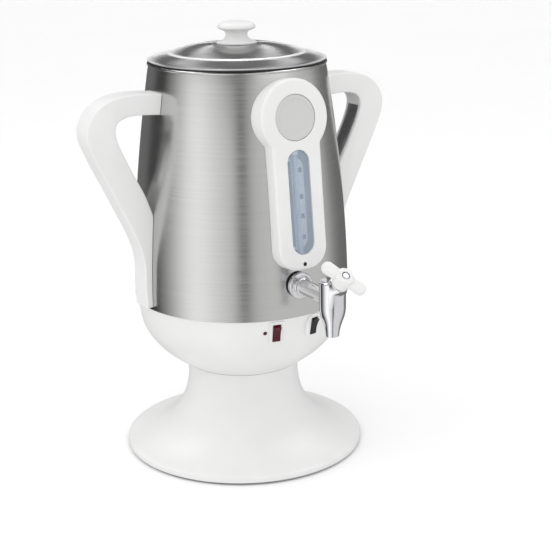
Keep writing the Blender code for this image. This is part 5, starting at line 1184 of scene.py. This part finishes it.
def make_tap():
    """The chrome tap body and its lever."""
    wall = on_side(vessel_radius, 0, sizes().tap_height)
    upright = capped(TAP_BODY_RADIUS, TAP_BODY_TOP, TAP_SHOULDER, DIP_STEPS)
    upright += bezier((TAP_BODY_RADIUS, -TAP_BODY_BELLY), *SPOUT_HANDLES, (SPOUT_RADIUS, -SPOUT_LENGTH),
                      END_STEPS) + [(0, -SPOUT_LENGTH)]
    bonnet = capped(BONNET_RADIUS, BONNET_LENGTH, BONNET_ROUND, ROUND_STEPS)
    bonnet += [(BONNET_RADIUS, 0), (0, 0)]
    centre, stem = Matrix.Translation(tap_centre()), stem_place()
    shape = combined(turned(barrel_line(), ROUND_SIDES, wall),
                     [turned(upright, ROUND_SIDES, centre), turned(bonnet, ROUND_SIDES, stem)], "UNION")
    mouth = -SPOUT_LENGTH - SPOUT_LIP
    spout = [(0, 0), (SPOUT_BORE, 0), (SPOUT_BORE, -SPOUT_LENGTH + SPOUT_LIP * 2),
             (SPOUT_RADIUS - SPOUT_LIP, mouth), (0, mouth)]
    reach = PLUG_LENGTH / 2 + PLUG_CLEARANCE
    tools = [turned(spout, SMALL_SIDES, centre), rod(BONNET_BORE, -reach, reach, stem),
             rod(STEM_RADIUS + PLUG_CLEARANCE, 0, BONNET_LENGTH + OVERRUN, stem)]
    piece("chrome_tap", combined(shape, tools), "tap_chrome", nodes=["tap_body"])
    make_lever(stem @ Matrix.Rotation(LEVER_TURN, 4, "Z"), BONNET_LENGTH + STEM_LENGTH)


def make_lever(place, stem_end):
    """The two-winged lever on the stem."""
    low = BONNET_LENGTH + GAP
    high, bottom = low + LEVER_HUB_LENGTH, low + LEVER_WING_RISE
    hub = capped(LEVER_HUB_RADIUS, high, LEVER_HUB_ROUND, CORNER_STEPS)
    hub += [(LEVER_HUB_RADIUS, low), (0, low)]
    tip = arc((LEVER_REACH - LEVER_WING_TIP_HALF_WIDTH, 0), LEVER_WING_TIP_HALF_WIDTH,
              -LEVER_WING_TIP_END, LEVER_WING_TIP_END, WING_STEPS)
    outline = tip + [(0, LEVER_WING_HALF_WIDTH)] + mirrored(tip) + [(0, -LEVER_WING_HALF_WIDTH)]
    wings = slab(outline, bottom, bottom + LEVER_WING_THICKNESS, place, LEVER_WING_ROUND, ROUND_STEPS)
    shape = combined(turned(hub, ROUND_SIDES, place), [wings], "UNION")
    tools = [rod(LEVER_SCREW_HEAD_RADIUS + GAP, high - SCREW_HEAD_HEIGHT, high + OVERRUN, place),
             rod(STEM_RADIUS + GAP, low - OVERRUN, stem_end + GAP, place)]
    piece("winged_lever", combined(shape, tools), "white_plastic", "tap_handle", ["tap_lever"])


# Handles
def make_handles():
    """Both handles with their straps."""
    s = sizes()
    root = (HANDLE_ROOT_RADIUS, s.handle_foot_height)
    far = (HANDLE_ROOT_RADIUS + s.handle_reach, s.handle_foot_height + s.handle_height)
    outer = through(shared(HANDLE_OUTER_SHARES, root, far), CORNER_STEPS)
    inner = through(shared(HANDLE_INNER_SHARES, root, far), CORNER_STEPS)
    first = round(STRAP_START_SHARE * len(inner))
    last = round(STRAP_END_SHARE * len(inner)) + 1
    strap_line = inner[first:last]
    half, strap_half = s.handle_width / 2, STRAP_WIDTH / 2
    for name, azimuth in (("left", -math.pi / 2), ("right", math.pi / 2)):
        out = direction(azimuth)
        place = place_at((0, 0, 0), out, out.cross(Z_AXIS))
        shape = slab(outer + inner, -half, half, place, s.handle_round, ROUND_STEPS)
        groove = slab(ribbon(strap_line, -OVERRUN, STRAP_THICKNESS + STRAP_SINK + GAP, GAP),
                      -strap_half - GAP, strap_half + GAP, place)
        shape = combined(shape, [vessel_former(), groove])
        piece(name + "_grip", shape, "white_plastic", nodes=[name + "_handle"])
        strap = slab(ribbon(strap_line, STRAP_SINK, STRAP_SINK + STRAP_THICKNESS), -strap_half,
                     strap_half, place, STRAP_ROUND, STRAP_STEPS)
        piece(name + "_strip", combined(strap, [vessel_former()]), "strap_steel",
              nodes=[name + "_handle_strap"])


# Inner pieces
def finish_inner_nodes():
    """Gives every CAD node that stays a better material of its own slot."""
    slots = {part["node"]: part["material_slot"] for part in frame["record"]["subparts"]}
    for name, item in frame["nodes"].items():
        if item.hide_render or name not in slots:
            continue
        for place in item.material_slots:
            place.material = finish(slots[name])


# Studio
def make_world():
    """A studio's surroundings: what steel mirrors by direction, and an even soft fill for the rest."""
    world = bpy.data.worlds.new("studio")
    bpy.context.scene.world = world
    nodes = Nodes(world)
    nodes.tree.nodes.clear()
    place = nodes.add("ShaderNodeTexCoord").outputs["Generated"]
    faced = nodes.add("ShaderNodeVectorRotate", {"Vector": place, "Angle": -CAMERA_AZIMUTH},
                      rotation_type="Z_AXIS").outputs[0]
    across, away, up = nodes.add("ShaderNodeSeparateXYZ", {0: faced}).outputs
    azimuth = nodes.math("ARCTAN2", across, nodes.math("MULTIPLY", away, -1.0))
    share = nodes.span(azimuth, 0.0, 1.0, -math.pi, math.pi)

    def around(levels):
        ramp = nodes.add("ShaderNodeValToRGB", {0: share})
        stops = ramp.color_ramp.elements
        for index, (degrees, level) in enumerate(levels):
            stop = stops[index] if index < 2 else stops.new(1.0)
            stop.position = (degrees + 180) / 360
            stop.color = (level, level, level, 1)
        return ramp.outputs["Color"]

    seen = around(REFLECTIONS)
    for (low, high), levels in LAYERS:
        seen = nodes.mix(nodes.span(up, 0.0, 1.0, low, high), seen, around(levels))
    rays = nodes.add("ShaderNodeLightPath").outputs
    seen = nodes.mix(rays["Is Glossy Ray"], WHITE, seen)
    seen = nodes.mix(rays["Is Camera Ray"], seen, WHITE)
    back = nodes.add("ShaderNodeBackground", {"Color": seen})
    nodes.add("ShaderNodeOutputWorld", {"Surface": back.outputs[0]})


def make_floor():
    """The pale floor."""
    shape = bmesh.new()
    bmesh.ops.create_circle(shape, cap_ends=True, segments=FLOOR_SIDES, radius=FLOOR_RADIUS,
                            matrix=Matrix.Translation((0, 0, -PAD_HEIGHT)))
    floor = meshed("studio_floor", shape)
    floor.data.materials.append(mottled("pale_floor", looks().floor, tones=(0.985, 1.0),
                                        scales=(2.0, 2.0, 2.0), roughness=(0.75, 0.85),
                                        Specular_IOR_Level=0.1))
    floor.visible_glossy = False


def make_light(name, azimuth, height, distance, size, power):
    """A square soft light that faces the samovar."""
    data = bpy.data.lights.new(name, "AREA")
    data.shape = "SQUARE"
    data.size = size
    data.energy = power
    light = added(name, data)
    light.location = direction(math.radians(azimuth)) * distance + Vector((0, 0, height))
    light.rotation_euler = (LIGHT_TARGET - light.location).to_track_quat("-Z", "Y").to_euler()
    light.visible_glossy = False


def make_camera():
    """The camera at the photograph's place."""
    data = bpy.data.cameras.new("camera")
    data.sensor_width = SENSOR_WIDTH
    data.lens = FOCAL_PIXELS / PICTURE_WIDTH * SENSOR_WIDTH
    data.clip_end = CAMERA_CLIP_END
    camera = added("camera", data)
    turn = Matrix.Rotation(CAMERA_AZIMUTH, 4, "Z")
    look = Matrix.Rotation(-CAMERA_YAW, 4, "Z") @ Matrix.Rotation(math.pi / 2 - CAMERA_PITCH, 4, "X")
    place = turn @ Matrix.Translation((0, -CAMERA_DISTANCE, CAMERA_HEIGHT - PAD_HEIGHT))
    camera.matrix_world = place @ look @ Matrix.Rotation(CAMERA_ROLL, 4, "Z")
    bpy.context.scene.camera = camera


class SAMOVAR_OT_add_foot(bpy.types.Operator):
    """Adds the foot and the bowl"""

    bl_idname = "samovar.add_foot"
    bl_label = "Add foot"

    def execute(self, context):
        make_foot()
        make_bowl()
        return {"FINISHED"}


class SAMOVAR_OT_add_vessel(bpy.types.Operator):
    """Adds the steel vessel"""

    bl_idname = "samovar.add_vessel"
    bl_label = "Add vessel"

    def execute(self, context):
        make_vessel()
        return {"FINISHED"}


class SAMOVAR_OT_add_lid(bpy.types.Operator):
    """Adds the lid and its knob"""

    bl_idname = "samovar.add_lid"
    bl_label = "Add lid"

    def execute(self, context):
        make_lid()
        make_knob()
        return {"FINISHED"}


class SAMOVAR_OT_add_switches(bpy.types.Operator):
    """Adds both switches, the lamp and the inlet"""

    bl_idname = "samovar.add_switches"
    bl_label = "Add switches"

    def execute(self, context):
        make_switches()
        make_inlet()
        return {"FINISHED"}


class SAMOVAR_OT_add_panel(bpy.types.Operator):
    """Adds the gauge panel"""

    bl_idname = "samovar.add_panel"
    bl_label = "Add gauge panel"

    def execute(self, context):
        make_panel()
        return {"FINISHED"}


class SAMOVAR_OT_add_tap(bpy.types.Operator):
    """Adds the tap and its lever"""

    bl_idname = "samovar.add_tap"
    bl_label = "Add tap"

    def execute(self, context):
        make_tap()
        return {"FINISHED"}


class SAMOVAR_OT_add_handles(bpy.types.Operator):
    """Adds both handles"""

    bl_idname = "samovar.add_handles"
    bl_label = "Add handles"

    def execute(self, context):
        make_handles()
        return {"FINISHED"}


class SAMOVAR_OT_finish_inner(bpy.types.Operator):
    """Gives the CAD pieces that stay their materials"""

    bl_idname = "samovar.finish_inner"
    bl_label = "Finish inner pieces"

    def execute(self, context):
        finish_inner_nodes()
        return {"FINISHED"}


class SAMOVAR_OT_add_stage(bpy.types.Operator):
    """Adds floor, surroundings, lights and camera"""

    bl_idname = "samovar.add_stage"
    bl_label = "Add stage"

    def execute(self, context):
        make_floor()
        make_world()
        for light in LIGHTS:
            make_light(*light)
        make_camera()
        context.scene.view_settings.view_transform = "Standard"
        return {"FINISHED"}


OPERATORS = (
    SAMOVAR_OT_add_foot, SAMOVAR_OT_add_vessel, SAMOVAR_OT_add_lid, SAMOVAR_OT_add_switches,
    SAMOVAR_OT_add_panel, SAMOVAR_OT_add_tap, SAMOVAR_OT_add_handles, SAMOVAR_OT_finish_inner,
    SAMOVAR_OT_add_stage,
)


class SAMOVAR_PT_panel(bpy.types.Panel):
    """Buttons, sizes and colours in the sidebar"""

    bl_label = "Samovar"
    bl_space_type = "VIEW_3D"
    bl_region_type = "UI"
    bl_category = "Samovar"

    def draw(self, context):
        for item in OPERATORS:
            self.layout.operator(item.bl_idname)
        for group in (context.scene.samovar_sizes, context.scene.samovar_looks):
            for key in group.__annotations__:
                self.layout.prop(group, key)


CLASSES = (SamovarSizes, SamovarLooks, *OPERATORS, SAMOVAR_PT_panel)


def register():
    """Registers the classes and the scene's own properties."""
    for item in CLASSES:
        bpy.utils.register_class(item)
    bpy.types.Scene.samovar_sizes = PointerProperty(type=SamovarSizes)
    bpy.types.Scene.samovar_looks = PointerProperty(type=SamovarLooks)


def unregister():
    """Takes everything back that register added."""
    del bpy.types.Scene.samovar_looks
    del bpy.types.Scene.samovar_sizes
    for item in reversed(CLASSES):
        bpy.utils.unregister_class(item)


def main():
    """Builds the whole scene."""
    register()
    bpy.ops.samovar.add_foot()
    bpy.ops.samovar.add_vessel()
    bpy.ops.samovar.add_lid()
    bpy.ops.samovar.add_switches()
    bpy.ops.samovar.add_panel()
    bpy.ops.samovar.add_tap()
    bpy.ops.samovar.add_handles()
    bpy.ops.samovar.finish_inner()
    bpy.ops.samovar.add_stage()


if __name__ == "__main__":
    main()
